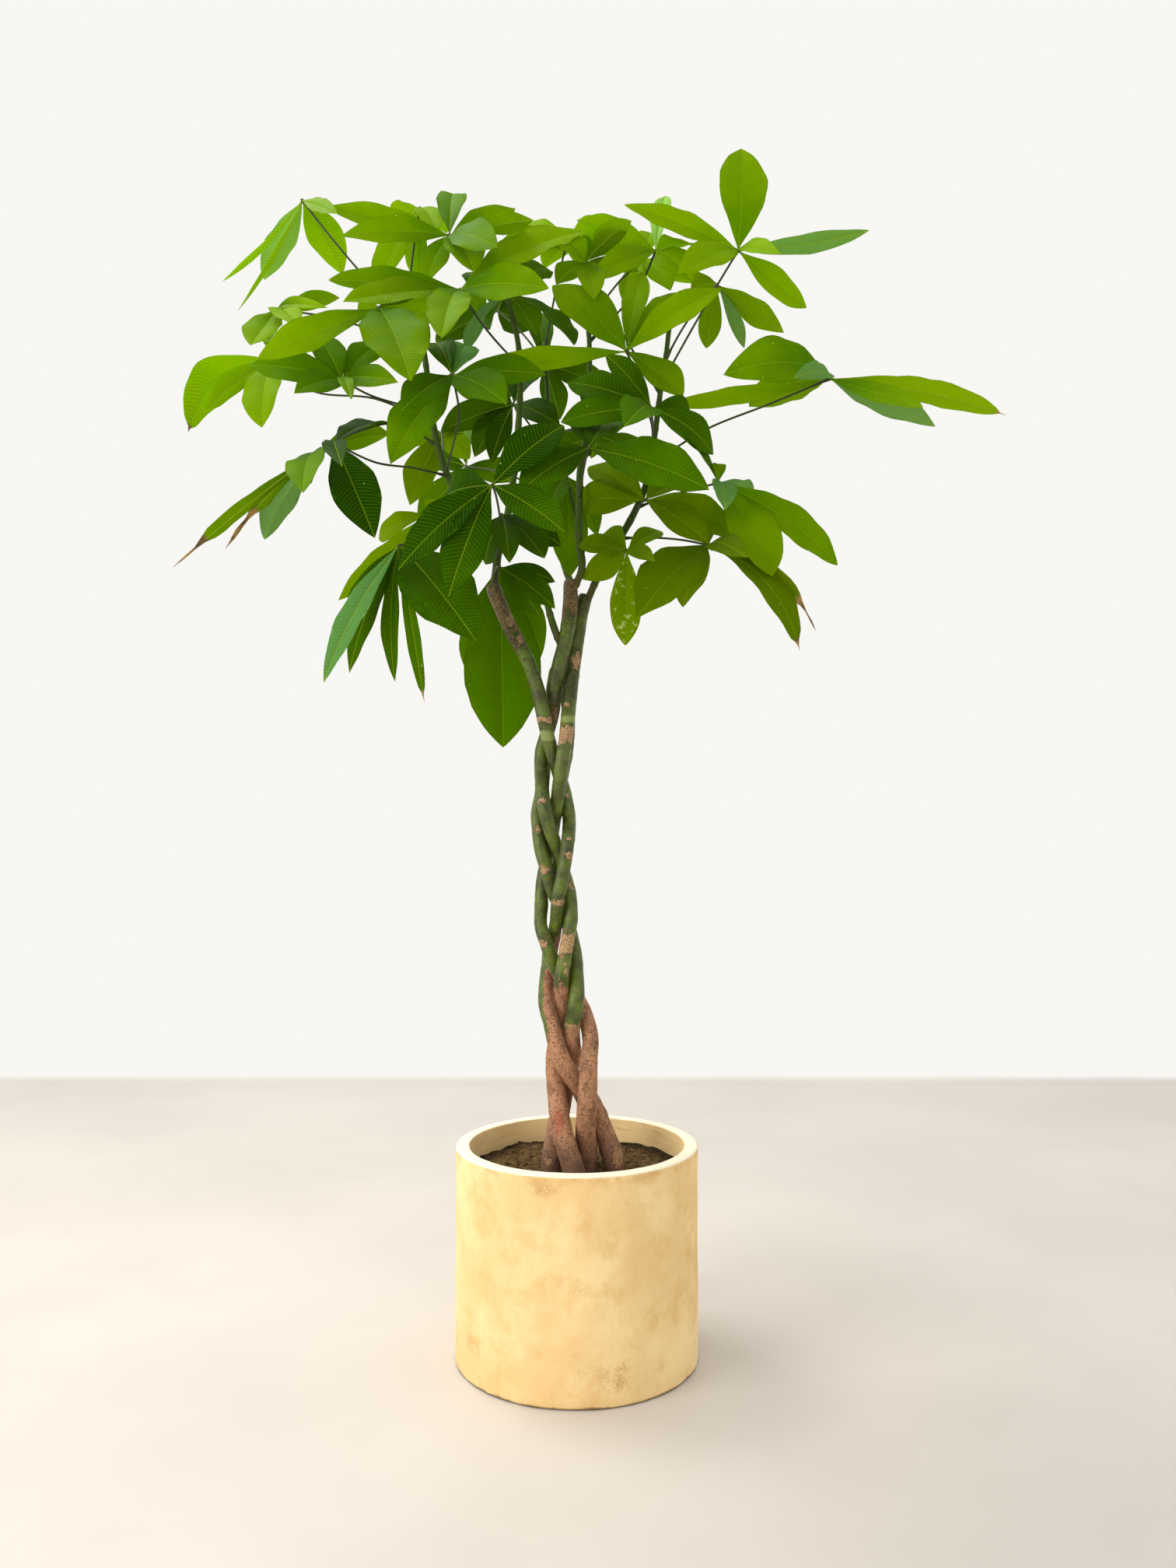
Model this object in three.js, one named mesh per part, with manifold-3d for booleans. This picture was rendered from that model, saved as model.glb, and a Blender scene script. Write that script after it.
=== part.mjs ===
// Potted money tree: five trunks plaited into one braid, in a thick cylindrical pot, with
// green shoots and hand-shaped compound leaves. Millimetres, +Z up, front towards -Y,
// origin at the middle of the pot's foot.
import * as THREE from 'three';
import { mergeGeometries, mergeVertices } from 'three/addons/utils/BufferGeometryUtils.js';
import Module from 'manifold-3d';

const wasm = await Module();
wasm.setup();

// Pot and soil
const POT_DIAMETER = 350;
const POT_HEIGHT = 304;
const POT_WALL = 19;
const POT_FLOOR = 22;
const POT_SIDES = 40;
const EDGE_ROUND = 3;
const DRAIN_RADIUS = 8;
const DRAIN_RING = 75;
const DRAIN_COUNT = 3;
const DRAIN_SIDES = 10;
const SOIL_BELOW_RIM = 31;
const SOIL_WAVE = 2;
const SOIL_DISH = 9;
const GAP = 0.3;

// Trunks
const TRUNK_RADIUS_LOW = 16.5;
const TRUNK_RADIUS_MIDDLE = 10;
const TRUNK_RADIUS_TOP = 11.5;
const TRUNK_WAIST_HEIGHT = 620;
const TRUNK_TOP_HEIGHT = 1119;
const TRUNK_SIDES = 7;
const TRUNK_STEPS = 32;
const ROOT_DEPTH = 130;
const PLAIT_GAP = 4.4;
const PLAIT_SAMPLES = 90;
const PLAIT_ROUNDS = 240;
const SIDE_PUSH = 0.12;
const COURSE_PULL = 0.12;

// Shoots, petioles and leaflets
const SHOOT_RADIUS_LOW = 6;
const SHOOT_RADIUS_TOP = 3.6;
const SHOOT_SIDES = 6;
const SHOOT_STEPS = 9;
const PETIOLE_RADIUS = 2.3;
const PETIOLE_ROOT_RADIUS = 3;
const PETIOLE_SIDES = 5;
const PETIOLE_STEPS = 3;
const HUB_RADIUS = 4;
const BLADE_THICKNESS = 1.8;
const BLADE_FOLD = 0.2;
const BLADE_ARCH = 0.07;
const BLADE_WAVE = 2.5;
const WIDTH_SEEN = 0.8;
const WIDEST_SHARE = 0.5;
const CLEARANCE = 2;

// The viewpoint that the plant was measured from. Courses and leaf tips are written as it
// sees them, [across, down], with a depth in mm behind the pot's axis.
const VIEW_EYE = new THREE.Vector3(16, -1800, 769);
const VIEW_CENTRE = { across: 756, down: 1008 };
const VIEW_FOCAL = 1571;
const VIEW_PITCH = Math.atan(51 / VIEW_FOCAL);
const VIEW_FORWARD = new THREE.Vector3(0, Math.cos(VIEW_PITCH), Math.sin(VIEW_PITCH));
const VIEW_UP = new THREE.Vector3(0, -Math.sin(VIEW_PITCH), Math.cos(VIEW_PITCH));

const COLOURS = {
  pot: 0xe3d3a2,
  soil: 0x5b5236,
  trunk: 0x5d5540,
  shoot: 0x55702e,
  frond: 0x4f8a18,
};

// Trunk courses from the cut top down to the soil, each point [across, down, depth]
const TRUNKS = {
  trunk_1: [
    [633, 752, -5], [652, 800, -8], [668, 830, -10], [684, 862, -14], [696, 906, -17],
    [704, 947, -18], [709, 964, -12], [715, 988, 0], [723, 1006, 6], [730, 1048, 4],
    [730, 1076, -6], [728, 1096, -14], [725, 1118, -18], [718, 1156, -19], [714, 1192, -10],
    [711, 1208, 0], [709, 1224, 8], [705, 1242, 14], [703, 1260, 8], [704, 1284, -4],
    [708, 1308, -14], [713, 1332, -16], [720, 1354, -15], [729, 1374, -12], [745, 1395, -2],
    [760, 1414, 4], [772, 1445, 0], [783, 1472, -6], [791, 1504, -8],
  ],
  trunk_2: [
    [734, 747, 0], [733, 790, -4], [726, 830, -6], [716, 866, -6], [712, 905, 0],
    [709, 930, 4], [700, 947, 6], [696, 970, 2], [697, 1005, -8], [700, 1036, -16],
    [705, 1060, -18], [711, 1078, -14], [719, 1108, 2], [730, 1136, 2], [733, 1172, -8],
    [730, 1208, -11], [724, 1244, -15], [723, 1262, -15], [723, 1284, -8], [721, 1306, 4],
    [716, 1346, 9], [715, 1372, 4], [717, 1405, -6], [720, 1440, -16], [729, 1474, -30],
    [739, 1506, -40],
  ],
  trunk_3: [
    [752, 764, 6], [745, 798, 6], [738, 850, 2], [732, 895, -3], [730, 928, -8],
    [725, 964, -18], [721, 992, -21], [718, 1012, -19], [716, 1032, -10], [711, 1064, 4],
    [703, 1106, 20], [698, 1126, 16], [696, 1148, 4], [696, 1175, -6], [698, 1198, -12],
    [706, 1222, -12], [713, 1242, -4], [722, 1260, 6], [732, 1272, 13], [742, 1283, 15],
    [750, 1297, 11], [756, 1322, 0], [757, 1355, -14], [755, 1405, -25], [753, 1445, -20],
    [752, 1504, -12],
  ],
  trunk_4: [
    [736, 790, 30], [728, 840, 26], [729, 890, 22], [731, 930, 18], [728, 965, 18],
    [721, 1006, 28], [712, 1048, 24], [710, 1084, 36], [712, 1106, 40], [716, 1144, 26],
    [720, 1175, 33], [714, 1195, 28], [706, 1220, 28], [705, 1245, 35], [704, 1284, 20],
    [708, 1308, 22], [716, 1346, 35], [731, 1380, 42], [753, 1414, 36], [754, 1494, 26],
  ],
  trunk_5: [
    [716, 858, 34], [707, 905, 26], [702, 950, 28], [699, 975, 24], [698, 1010, 15],
    [691, 1044, 2], [692, 1064, -2], [697, 1086, -3], [705, 1124, -1], [709, 1142, 2],
    [719, 1164, 9], [727, 1180, 12], [734, 1200, 13], [740, 1228, 10], [741, 1256, 0],
    [740, 1276, -8], [737, 1316, -8], [735, 1346, 1], [732, 1378, 15], [724, 1409, 20],
    [717, 1446, 14], [712, 1478, 3], [709, 1504, -4],
  ],
};

// Shoot courses from the root to the tip. Each grows from a trunk's top or from a shoot.
const SHOOTS = {
  shoot_1: {
    on: 'trunk_1',
    course: [
      [634, 752, -5], [640, 715, 0], [650, 675, 8], [658, 630, 14], [664, 580, 14],
      [668, 520, 10], [669, 470, 4], [662, 418, -6], [652, 385, -14], [640, 350, -20],
    ],
  },
  shoot_2: {
    on: 'shoot_1',
    course: [
      [640, 715, 0], [622, 692, 12], [602, 662, 22], [584, 630, 24], [570, 597, 18],
      [560, 560, 10], [553, 520, 8], [549, 480, 14], [543, 440, 24], [534, 400, 34],
      [524, 365, 40],
    ],
  },
  shoot_3: {
    on: 'trunk_2',
    course: [
      [736, 765, 0], [750, 750, -6], [747, 720, -12], [744, 680, -16], [745, 640, -18],
      [746, 605, -14], [751, 575, -6], [757, 545, 4], [758, 500, 14], [758, 450, 22],
      [756, 410, 26],
    ],
  },
  shoot_4: {
    on: 'trunk_3',
    course: [
      [757, 768, 6], [768, 742, 8], [783, 715, 6], [797, 692, 4], [812, 665, 2], [826, 641, 0],
      [834, 605, 0], [841, 565, -2], [846, 528, -4], [851, 490, -8], [857, 452, -14],
      [861, 415, -18],
    ],
  },
  shoot_5: {
    on: 'trunk_2',
    course: [[722, 832, -6], [712, 806, -14], [705, 782, -22], [699, 755, -30], [690, 728, -38]],
  },
  shoot_6: {
    on: 'trunk_4',
    course: [
      [742, 792, 26], [740, 770, 44], [728, 735, 84], [716, 680, 120], [710, 620, 145],
      [706, 560, 160], [704, 500, 170], [700, 440, 176],
    ],
  },
};

// Compound leaves. The hub is [across, down, depth]; root is the shoot and how far down the
// view the petiole leaves it; by lists points that the petiole passes. Each leaflet is
// [across, down, away, width]: its tip as seen, how strongly it leans away from the viewer
// (1) or towards them (-1), and its width. Length is the leaflets' own length, and faces is
// the way that the open hand looks.
const FRONDS = [
  {
    hub: [389, 258, 34], root: ['shoot_2', 400], by: [[475, 361, 40]], length: 190,
    faces: [-0.2, 0, 1],
    leaflets: [
      [340, 360, 0.9, 44, { arch: 0 }], [286, 362, 0.6, 24, { arch: -0.06 }], [305, 401, -0.4, 24, { arch: -0.04 }],
      [441, 354, 0.7, 62], [434, 275, -1, 22, { arch: 0.01 }],
    ],
  },
  {
    hub: [578, 303, -40], root: ['shoot_1', 372], by: [[600, 327, -36]], length: 190,
    faces: [0, -0.5, 1],
    leaflets: [
      [419, 266, 0.2, 38, { arch: 0.01 }], [437, 304, -0.4, 42], [584, 250, 1, 50],
      [663, 268, 0.6, 38, { arch: 0.01 }], [686, 283, -0.5, 38, { arch: 0.03 }], [640, 319, -0.8, 46],
      [610, 350, -0.5, 50], [548, 364, -0.2, 52],
    ],
  },
  {
    hub: [540, 268, 80], root: ['shoot_2', 372], length: 165, faces: [-0.1, -0.1, 1],
    leaflets: [
      [502, 276, 0.9, 34, { arch: 0 }], [484, 370, -0.2, 46], [541, 362, 0.3, 48], [575, 300, 0.8, 38],
      [562, 301, -0.8, 40],
    ],
  },
  {
    hub: [356, 398, 20], root: ['shoot_2', 455], length: 150, faces: [-0.3, -0.3, 1],
    leaflets: [
      [322, 444, -0.8, 46, { arch: 0 }], [346, 438, 0.7, 40], [384, 420, -0.8, 40], [437, 383, 0.5, 30, { arch: 0.03 }], [421, 396, -0.9, 18],
    ],
  },
  {
    hub: [487, 396, -150], root: ['shoot_2', 430], length: 200, faces: [0, -0.6, 0.8],
    leaflets: [
      [330, 462, -0.2, 50, { arch: 0.02 }], [475, 427, 0.9, 50], [528, 490, -0.8, 92], [566, 413, 0.6, 50],
      [545, 366, 0.5, 44],
    ],
  },
  {
    hub: [592, 373, -100], root: ['shoot_1', 470], by: [[625, 424, -60]], length: 205,
    faces: [0, -0.5, 0.9],
    leaflets: [
      [752, 298, 0.3, 64], [706, 371, -0.7, 50], [422, 360, 0.4, 42, { arch: 0.02 }], [441, 388, -0.4, 54, { arch: 0.03 }],
      [568, 434, -0.9, 58], [619, 406, 0.9, 32],
    ],
  },
  {
    hub: [652, 377, 20], root: ['shoot_1', 430], length: 190, faces: [0, -0.3, 1],
    leaflets: [
      [738, 444, -0.5, 66], [599, 454, 0.6, 38], [630, 424, -0.9, 62], [704, 345, 0.7, 50],
      [690, 432, 0.6, 54],
    ],
  },
  {
    hub: [949, 322, -30], root: ['shoot_4', 493], by: [[905, 396, -26]], length: 195,
    faces: [0.15, -0.85, 0.5],
    leaflets: [
      [953, 191, 0.4, 78], [1118, 296, 0.2, 24, { arch: -0.05, twist: 0.8 }], [1037, 396, 0.5, 42, { arch: -0.03 }],
      [802, 263, 0.3, 36, { arch: 0.04 }], [1004, 327, -0.9, 24], [872, 352, -0.7, 46],
    ],
  },
  {
    hub: [843, 323, 50], root: ['shoot_3', 440], by: [[820, 372, 46]], length: 170,
    faces: [0, -0.2, 1],
    leaflets: [
      [741, 283, 0.4, 40], [762, 361, -0.6, 40], [735, 313, -0.3, 48], [856, 252, 0.8, 34],
      [900, 320, -0.7, 42], [890, 362, -0.5, 58],
    ],
  },
  {
    hub: [828, 334, 150], root: ['shoot_3', 420], length: 165, faces: [0.1, 0.1, 1],
    leaflets: [
      [862, 374, -0.4, 46], [905, 366, 0.4, 42], [812, 360, 0.8, 44], [806, 392, -0.5, 40],
      [838, 300, 0.8, 40],
    ],
  },
  {
    hub: [752, 338, 10], root: ['shoot_4', 505], by: [[781, 397, 4]], length: 150,
    faces: [0, -0.2, 1],
    leaflets: [
      [822, 350, 0.6, 30], [812, 284, 0.5, 50], [753, 302, 0.9, 44], [731, 312, -0.9, 34], [764, 385, -0.8, 42],
      [715, 366, 0.6, 40],
    ],
  },
  {
    hub: [727, 318, 110], root: ['shoot_6', 450], length: 150, faces: [-0.1, 0, 1],
    leaflets: [
      [763, 376, -0.4, 44], [700, 345, 0.8, 38], [672, 287, 0.5, 34], [646, 308, -0.3, 40],
      [788, 290, 0.5, 48],
    ],
  },
  {
    hub: [806, 452, -90], root: ['shoot_4', 560], length: 200, faces: [0, -0.6, 0.8],
    leaflets: [
      [710, 367, 0.2, 72], [826, 350, 0.6, 42], [872, 376, 0.8, 28], [928, 371, 0.2, 46],
      [602, 480, -0.2, 40, { arch: 0.02 }], [878, 510, 0.9, 60],
    ],
  },
  {
    hub: [1067, 487, -60], root: ['shoot_4', 600], by: [[1049, 497, -62], [908, 552, -40]],
    length: 235, faces: [0.1, -0.4, 1],
    leaflets: [
      [930, 482, -0.3, 84, { arch: 0.2 }], [963, 523, 0.7, 56], [851, 524, 0.2, 28, { arch: -0.02 }],
      [1294, 534, 0, 38, { arch: 0.05 }], [1203, 549, 0.5, 44, { arch: 0.02 }], [1187, 524, -0.6, 30, { arch: 0 }],
      [1020, 486, -0.9, 26],
    ],
  },
  {
    hub: [923, 621, -20], root: ['shoot_4', 652], by: [[866, 636, -10]], length: 205,
    faces: [0.2, -0.4, 0.9],
    leaflets: [
      [922, 597, -0.6, 20], [1077, 727, 0.2, 48, { arch: 0.1 }], [993, 741, -0.5, 76], [962, 654, 0.9, 50],
      [932, 656, -0.9, 34],
    ],
  },
  {
    hub: [838, 525, -140], root: ['shoot_4', 575], length: 175, faces: [0, -0.8, 0.6],
    leaflets: [
      [778, 456, -0.2, 88], [730, 492, 0.4, 48], [721, 543, 0.1, 44], [803, 549, -0.9, 48],
      [917, 585, 0.3, 56, { arch: 0.14 }], [922, 618, 0.6, 36], [893, 548, 0.6, 48],
    ],
  },
  {
    hub: [757, 577, -180], root: ['shoot_3', 640], length: 205, faces: [0, -0.6, 0.8],
    leaflets: [
      [912, 630, -0.2, 72], [668, 633, -0.3, 60], [745, 546, 0.9, 52], [787, 545, 0.8, 52],
      [716, 600, 0.6, 40],
    ],
  },
  {
    hub: [829, 643, -50], root: ['shoot_4', 664], length: 185, faces: [0, -0.5, 0.9],
    leaflets: [
      [891, 622, 0.6, 60], [952, 688, 0.3, 56], [912, 700, -0.3, 46], [741, 643, 0.3, 48],
      [757, 600, 0.5, 48],
    ],
  },
  {
    hub: [806, 708, -60], root: ['shoot_4', 724], length: 140, faces: [0, -0.5, 0.9],
    leaflets: [
      [804, 830, -0.2, 50], [850, 683, 0.6, 30], [842, 722, -0.7, 24], [744, 700, 0.3, 36],
      [775, 687, 0.8, 40], [749, 745, 0.6, 36],
    ],
  },
  {
    hub: [911, 701, -50], root: ['shoot_4', 692], by: [[860, 692, -24]], length: 200,
    faces: [0.1, -0.6, 0.8],
    leaflets: [
      [818, 796, -0.7, 94], [1028, 837, 0.1, 42, { arch: 0.22 }], [1049, 812, 0.4, 22, { arch: 0.2 }], [911, 674, 0.9, 34],
      [961, 717, -0.9, 34], [878, 781, 0.7, 50],
    ],
  },
  {
    hub: [408, 581, -10], root: ['shoot_2', 575], by: [[455, 557, -10], [500, 542, -4]],
    length: 215, faces: [-0.3, -0.2, 1],
    leaflets: [
      [222, 730, 0.1, 22, { arch: 0.02 }], [289, 707, 0.3, 26], [340, 694, 0.6, 50],
      [390, 634, -0.9, 50], [500, 558, 0.4, 40],
    ],
  },
  {
    hub: [430, 570, -100], root: ['shoot_2', 612], by: [[462, 591, -90], [505, 596, -60]],
    length: 190, faces: [-0.2, -0.7, 0.8],
    leaflets: [
      [482, 692, -0.4, 72], [505, 548, 0.7, 50], [400, 622, 0.7, 46], [440, 600, -0.9, 36],
    ],
  },
  {
    hub: [440, 489, -70], root: ['shoot_2', 530], by: [[478, 509, -44]], length: 175,
    faces: [-0.1, -0.5, 0.9],
    leaflets: [
      [408, 432, 0.3, 60], [320, 470, -0.1, 52], [452, 514, -0.9, 22], [512, 492, -0.6, 34],
      [492, 442, 0.6, 44], [378, 506, -0.7, 40],
    ],
  },
  {
    hub: [352, 462, 40], root: ['shoot_2', 545], by: [[400, 502, 20], [460, 506, 10]],
    length: 190, faces: [-0.3, -0.2, 1],
    leaflets: [
      [242, 556, 0.1, 66, { arch: 0.3 }], [264, 528, -0.5, 36], [337, 550, -0.6, 54], [398, 440, 0.7, 44],
      [318, 436, 0.8, 46],
    ],
  },
  {
    hub: [582, 483, -120], root: ['shoot_2', 606], by: [[590, 530, -80]], length: 180,
    faces: [-0.1, -0.7, 0.8],
    leaflets: [
      [516, 528, -0.5, 48], [502, 597, -0.3, 70], [560, 441, 0.7, 46], [652, 520, -0.6, 56],
      [702, 482, 0.2, 44], [603, 514, 0.9, 34], [600, 445, 0.8, 44],
    ],
  },
  {
    hub: [633, 624, -230], root: ['shoot_1', 690], length: 160, faces: [0, -0.9, 0.45],
    leaflets: [
      [577, 767, -0.2, 62], [512, 733, 0.3, 52], [725, 684, -0.3, 64], [725, 547, 0.3, 58],
      [573, 640, 0.8, 50],
    ],
  },
  {
    hub: [645, 662, -90], root: ['shoot_1', 720], length: 150, faces: [0.1, -0.7, 0.7],
    leaflets: [
      [700, 718, -0.6, 60], [655, 724, -0.8, 42], [624, 726, 0.6, 52], [722, 702, 0.3, 52],
    ],
  },
  {
    hub: [642, 728, 60], root: ['shoot_1', 700], length: 245, faces: [0.1, -0.9, 0.4],
    leaflets: [
      [647, 961, 0.1, 128], [693, 850, 0.4, 62], [604, 868, 0.5, 62],
    ],
  },
  {
    hub: [642, 730, -110], root: ['shoot_1', 738], length: 130, faces: [0.1, -0.7, 0.7],
    leaflets: [[714, 783, -0.2, 50], [694, 793, 0.6, 36], [714, 748, 0.6, 26]],
  },
  {
    hub: [548, 662, -60], root: ['shoot_2', 676], length: 180, faces: [-0.3, -0.5, 0.9],
    leaflets: [[435, 772, 0.1, 36, { arch: -0.04 }], [487, 693, 0.6, 36], [577, 650, -0.9, 26], [571, 668, 0.9, 26]],
  },
  {
    hub: [513, 702, -130], root: ['shoot_2', 694], length: 225, faces: [-0.3, -0.7, 0.8],
    leaflets: [
      [445, 800, 0.3, 30], [416, 878, -0.1, 34], [449, 866, 0.4, 34], [612, 824, -0.6, 124],
      [508, 877, 0.3, 26], [546, 905, -0.2, 22, { arch: 0 }],
    ],
  },
  {
    hub: [728, 612, 50], root: ['shoot_3', 690], length: 155, faces: [0, -0.4, 1],
    leaflets: [
      [733, 742, -0.2, 62], [768, 690, 0.4, 44], [700, 668, -0.5, 44], [700, 606, 0.7, 44],
    ],
  },
  {
    hub: [660, 520, 90], root: ['shoot_6', 590], length: 180, faces: [-0.2, -0.3, 1],
    leaflets: [
      [720, 548, -0.4, 64], [632, 596, 0.2, 54], [566, 556, 0.2, 50], [690, 470, 0.6, 50],
      [600, 500, 0.5, 50], [610, 588, 0.5, 50],
    ],
  },
  {
    hub: [700, 470, 260], root: ['shoot_6', 480], length: 180, faces: [0, 0.4, 0.9],
    leaflets: [
      [640, 500, 0.6, 50], [600, 540, 0.2, 50], [720, 540, 0.5, 52], [780, 500, 0.5, 52],
      [690, 400, 0.7, 48],
    ],
  },
  {
    hub: [640, 400, 230], root: ['shoot_6', 470], length: 180, faces: [-0.2, 0.4, 0.9],
    leaflets: [
      [560, 440, 0.5, 52], [600, 350, 0.6, 50], [680, 340, 0.6, 50], [690, 420, 0.8, 46],
    ],
  },
  {
    hub: [770, 560, 280], root: ['shoot_6', 560], length: 190, faces: [0.2, 0.5, 0.9],
    leaflets: [
      [840, 600, 0.5, 54], [760, 590, 0.8, 50], [700, 590, 0.5, 50], [830, 520, 0.6, 50],
      [750, 500, 0.7, 48],
    ],
  },
  {
    hub: [600, 600, 240], root: ['shoot_6', 640], length: 185, faces: [-0.2, 0.5, 0.9],
    leaflets: [
      [540, 680, 0.3, 54], [620, 700, 0.6, 54], [530, 590, 0.6, 48], [660, 620, 0.8, 50],
      [600, 540, 0.7, 46],
    ],
  },
  {
    hub: [922, 366, 70], root: ['shoot_4', 462], length: 150, faces: [0.1, 0.4, 0.9],
    leaflets: [
      [1008, 428, 0.3, 42, { arch: -0.04 }], [957, 448, 0.3, 24], [908, 448, 0.4, 40],
      [888, 372, 0.6, 36],
    ],
  },
  {
    hub: [568, 556, 96], root: ['shoot_2', 600], length: 150, faces: [-0.1, 0.4, 0.9],
    leaflets: [[527, 650, 0.4, 66], [604, 590, 0.6, 42], [508, 570, 0.5, 50]],
  },
];

// Places in the view

// Returns the point that is seen at [across, down] and lies at the given depth.
function seen(across, down, depth) {
  const ray = VIEW_FORWARD.clone().multiplyScalar(VIEW_FOCAL);
  ray.x += across - VIEW_CENTRE.across;
  ray.addScaledVector(VIEW_UP, VIEW_CENTRE.down - down);
  return VIEW_EYE.clone().addScaledVector(ray, (depth - VIEW_EYE.y) / ray.y);
}

// Returns how far down the view a point is seen.
function downOf(point) {
  const ray = point.clone().sub(VIEW_EYE);
  return VIEW_CENTRE.down - (VIEW_FOCAL * ray.dot(VIEW_UP)) / ray.dot(VIEW_FORWARD);
}

// Returns random numbers between -1 and 1 that are the same in every run.
function seededDraw(seed) {
  let state = seed;
  return () => {
    state = (state * 1664525 + 1013904223) % 4294967296;
    return state / 2147483648 - 1;
  };
}

// Solids and surfaces

function toSolid(geometry) {
  const plain = geometry.clone();
  plain.deleteAttribute('normal');
  plain.deleteAttribute('uv');
  const welded = mergeVertices(plain, 1e-4);
  const corners = [];
  for (let i = 0; i < welded.index.count; i += 3) {
    const [a, b, c] = [0, 1, 2].map((k) => welded.index.getX(i + k));
    if (a !== b && b !== c && c !== a) corners.push(a, b, c);
  }
  const mesh = new wasm.Mesh({
    numProp: 3,
    vertProperties: new Float32Array(welded.attributes.position.array),
    triVerts: new Uint32Array(corners),
  });
  return new wasm.Manifold(mesh);
}

function toGeometry(solid) {
  const mesh = solid.getMesh();
  const geometry = new THREE.BufferGeometry();
  const places = new Float32Array(mesh.vertProperties);
  geometry.setAttribute('position', new THREE.BufferAttribute(places, 3));
  geometry.setIndex(new THREE.BufferAttribute(new Uint32Array(mesh.triVerts), 1));
  return geometry;
}

// Returns the largest of the bodies that a cut leaves.
function largestBody(solid) {
  const bodies = solid.decompose();
  return bodies.reduce((best, body) => (body.volume() > best.volume() ? body : best));
}

// A round bar along a curve: a cylinder whose rings are carried to the curve, square to it,
// with the radius given for each share of its length.
function bar(curve, radiusAt, sides, steps) {
  const geometry = new THREE.CylinderGeometry(1, 1, 1, sides, steps);
  const frames = curve.computeFrenetFrames(steps, false);
  const places = geometry.attributes.position;
  for (let i = 0; i < places.count; i += 1) {
    const step = Math.round((places.getY(i) + 0.5) * steps);
    const radius = radiusAt(step / steps);
    const place = curve.getPointAt(step / steps);
    place.addScaledVector(frames.normals[step], places.getX(i) * radius);
    place.addScaledVector(frames.binormals[step], -places.getZ(i) * radius);
    places.setXYZ(i, place.x, place.y, place.z);
  }
  return toSolid(geometry);
}

// The room that is taken so far, as solids with their boxes and the node that owns each
const taken = [];

function boxOf(solid) {
  const { min, max } = solid.boundingBox();
  return new THREE.Box3(new THREE.Vector3(...min), new THREE.Vector3(...max));
}

function takeRoom(solid, owner) {
  taken.push({ solid, owner, box: boxOf(solid) });
}

// Says whether a solid meets nothing that is taken by other nodes than those named.
function isFree(solid, ...except) {
  const box = boxOf(solid);
  return taken.every((other) => {
    if (except.includes(other.owner) || !other.box.intersectsBox(box)) return true;
    const shared = other.solid.intersect(solid);
    const free = shared.isEmpty();
    shared.delete();
    return free;
  });
}

// Pot and soil

const POT_RADIUS = POT_DIAMETER / 2;
const SOIL_TOP = POT_HEIGHT - SOIL_BELOW_RIM;

function potSolid() {
  const inside = POT_RADIUS - POT_WALL;
  const outline = [
    [0, 0],
    [POT_RADIUS - EDGE_ROUND, 0],
    [POT_RADIUS, EDGE_ROUND],
    [POT_RADIUS, POT_HEIGHT - EDGE_ROUND],
    [POT_RADIUS - EDGE_ROUND, POT_HEIGHT],
    [inside + EDGE_ROUND, POT_HEIGHT],
    [inside, POT_HEIGHT - EDGE_ROUND],
    [inside, POT_FLOOR],
    [0, POT_FLOOR],
  ];
  const lathe = new THREE.LatheGeometry(outline.map(([r, z]) => new THREE.Vector2(r, z)), POT_SIDES);
  let pot = toSolid(lathe.rotateX(Math.PI / 2));
  for (let i = 0; i < DRAIN_COUNT; i += 1) {
    const angle = (i / DRAIN_COUNT) * 2 * Math.PI;
    const hole = new THREE.CylinderGeometry(DRAIN_RADIUS, DRAIN_RADIUS, 3 * POT_FLOOR, DRAIN_SIDES);
    hole.rotateX(Math.PI / 2);
    hole.translate(DRAIN_RING * Math.sin(angle), DRAIN_RING * Math.cos(angle), 0);
    pot = pot.subtract(toSolid(hole));
  }
  return pot;
}

// The soil's top rolls gently, and lies lower round the trunks than near the pot's wall.
function soilHeight(x, y) {
  const roll = Math.sin(x / 31 + 0.6) * Math.cos(y / 27 - 0.4) + 0.5 * Math.sin((x + y) / 17);
  const edge = Math.hypot(x, y) / (POT_RADIUS - POT_WALL);
  return SOIL_TOP + SOIL_WAVE * roll - SOIL_DISH * (1 - edge ** 2);
}

function soilSolid(trunkCutters) {
  const radius = POT_RADIUS - POT_WALL - GAP;
  const rings = [0, 0.45, 0.85, 1];
  const outline = [[0, POT_FLOOR + GAP], [radius, POT_FLOOR + GAP]];
  outline.push(...rings.toReversed().map((share) => [share * radius, SOIL_TOP]));
  const points = outline.map(([r, z]) => new THREE.Vector2(r, z));
  const lathe = new THREE.LatheGeometry(points, POT_SIDES / 2).rotateX(Math.PI / 2);
  const places = lathe.attributes.position;
  for (let i = 0; i < places.count; i += 1) {
    const onTop = places.getZ(i) > POT_FLOOR + 1;
    if (onTop) places.setZ(i, soilHeight(places.getX(i), places.getY(i)));
  }
  return trunkCutters.reduce((soil, cutter) => soil.subtract(cutter), toSolid(lathe));
}

// Trunks

// A trunk is thickest at the soil, slimmest at its waist and a little thicker at the top.
function trunkRadius(height) {
  const below = (TRUNK_WAIST_HEIGHT - height) / (TRUNK_WAIST_HEIGHT - SOIL_TOP);
  const above = (height - TRUNK_WAIST_HEIGHT) / (TRUNK_TOP_HEIGHT - TRUNK_WAIST_HEIGHT);
  return below > 0
    ? THREE.MathUtils.lerp(TRUNK_RADIUS_MIDDLE, TRUNK_RADIUS_LOW, Math.min(below, 1) ** 1.3)
    : THREE.MathUtils.lerp(TRUNK_RADIUS_MIDDLE, TRUNK_RADIUS_TOP, Math.min(above, 1) ** 2);
}

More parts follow.
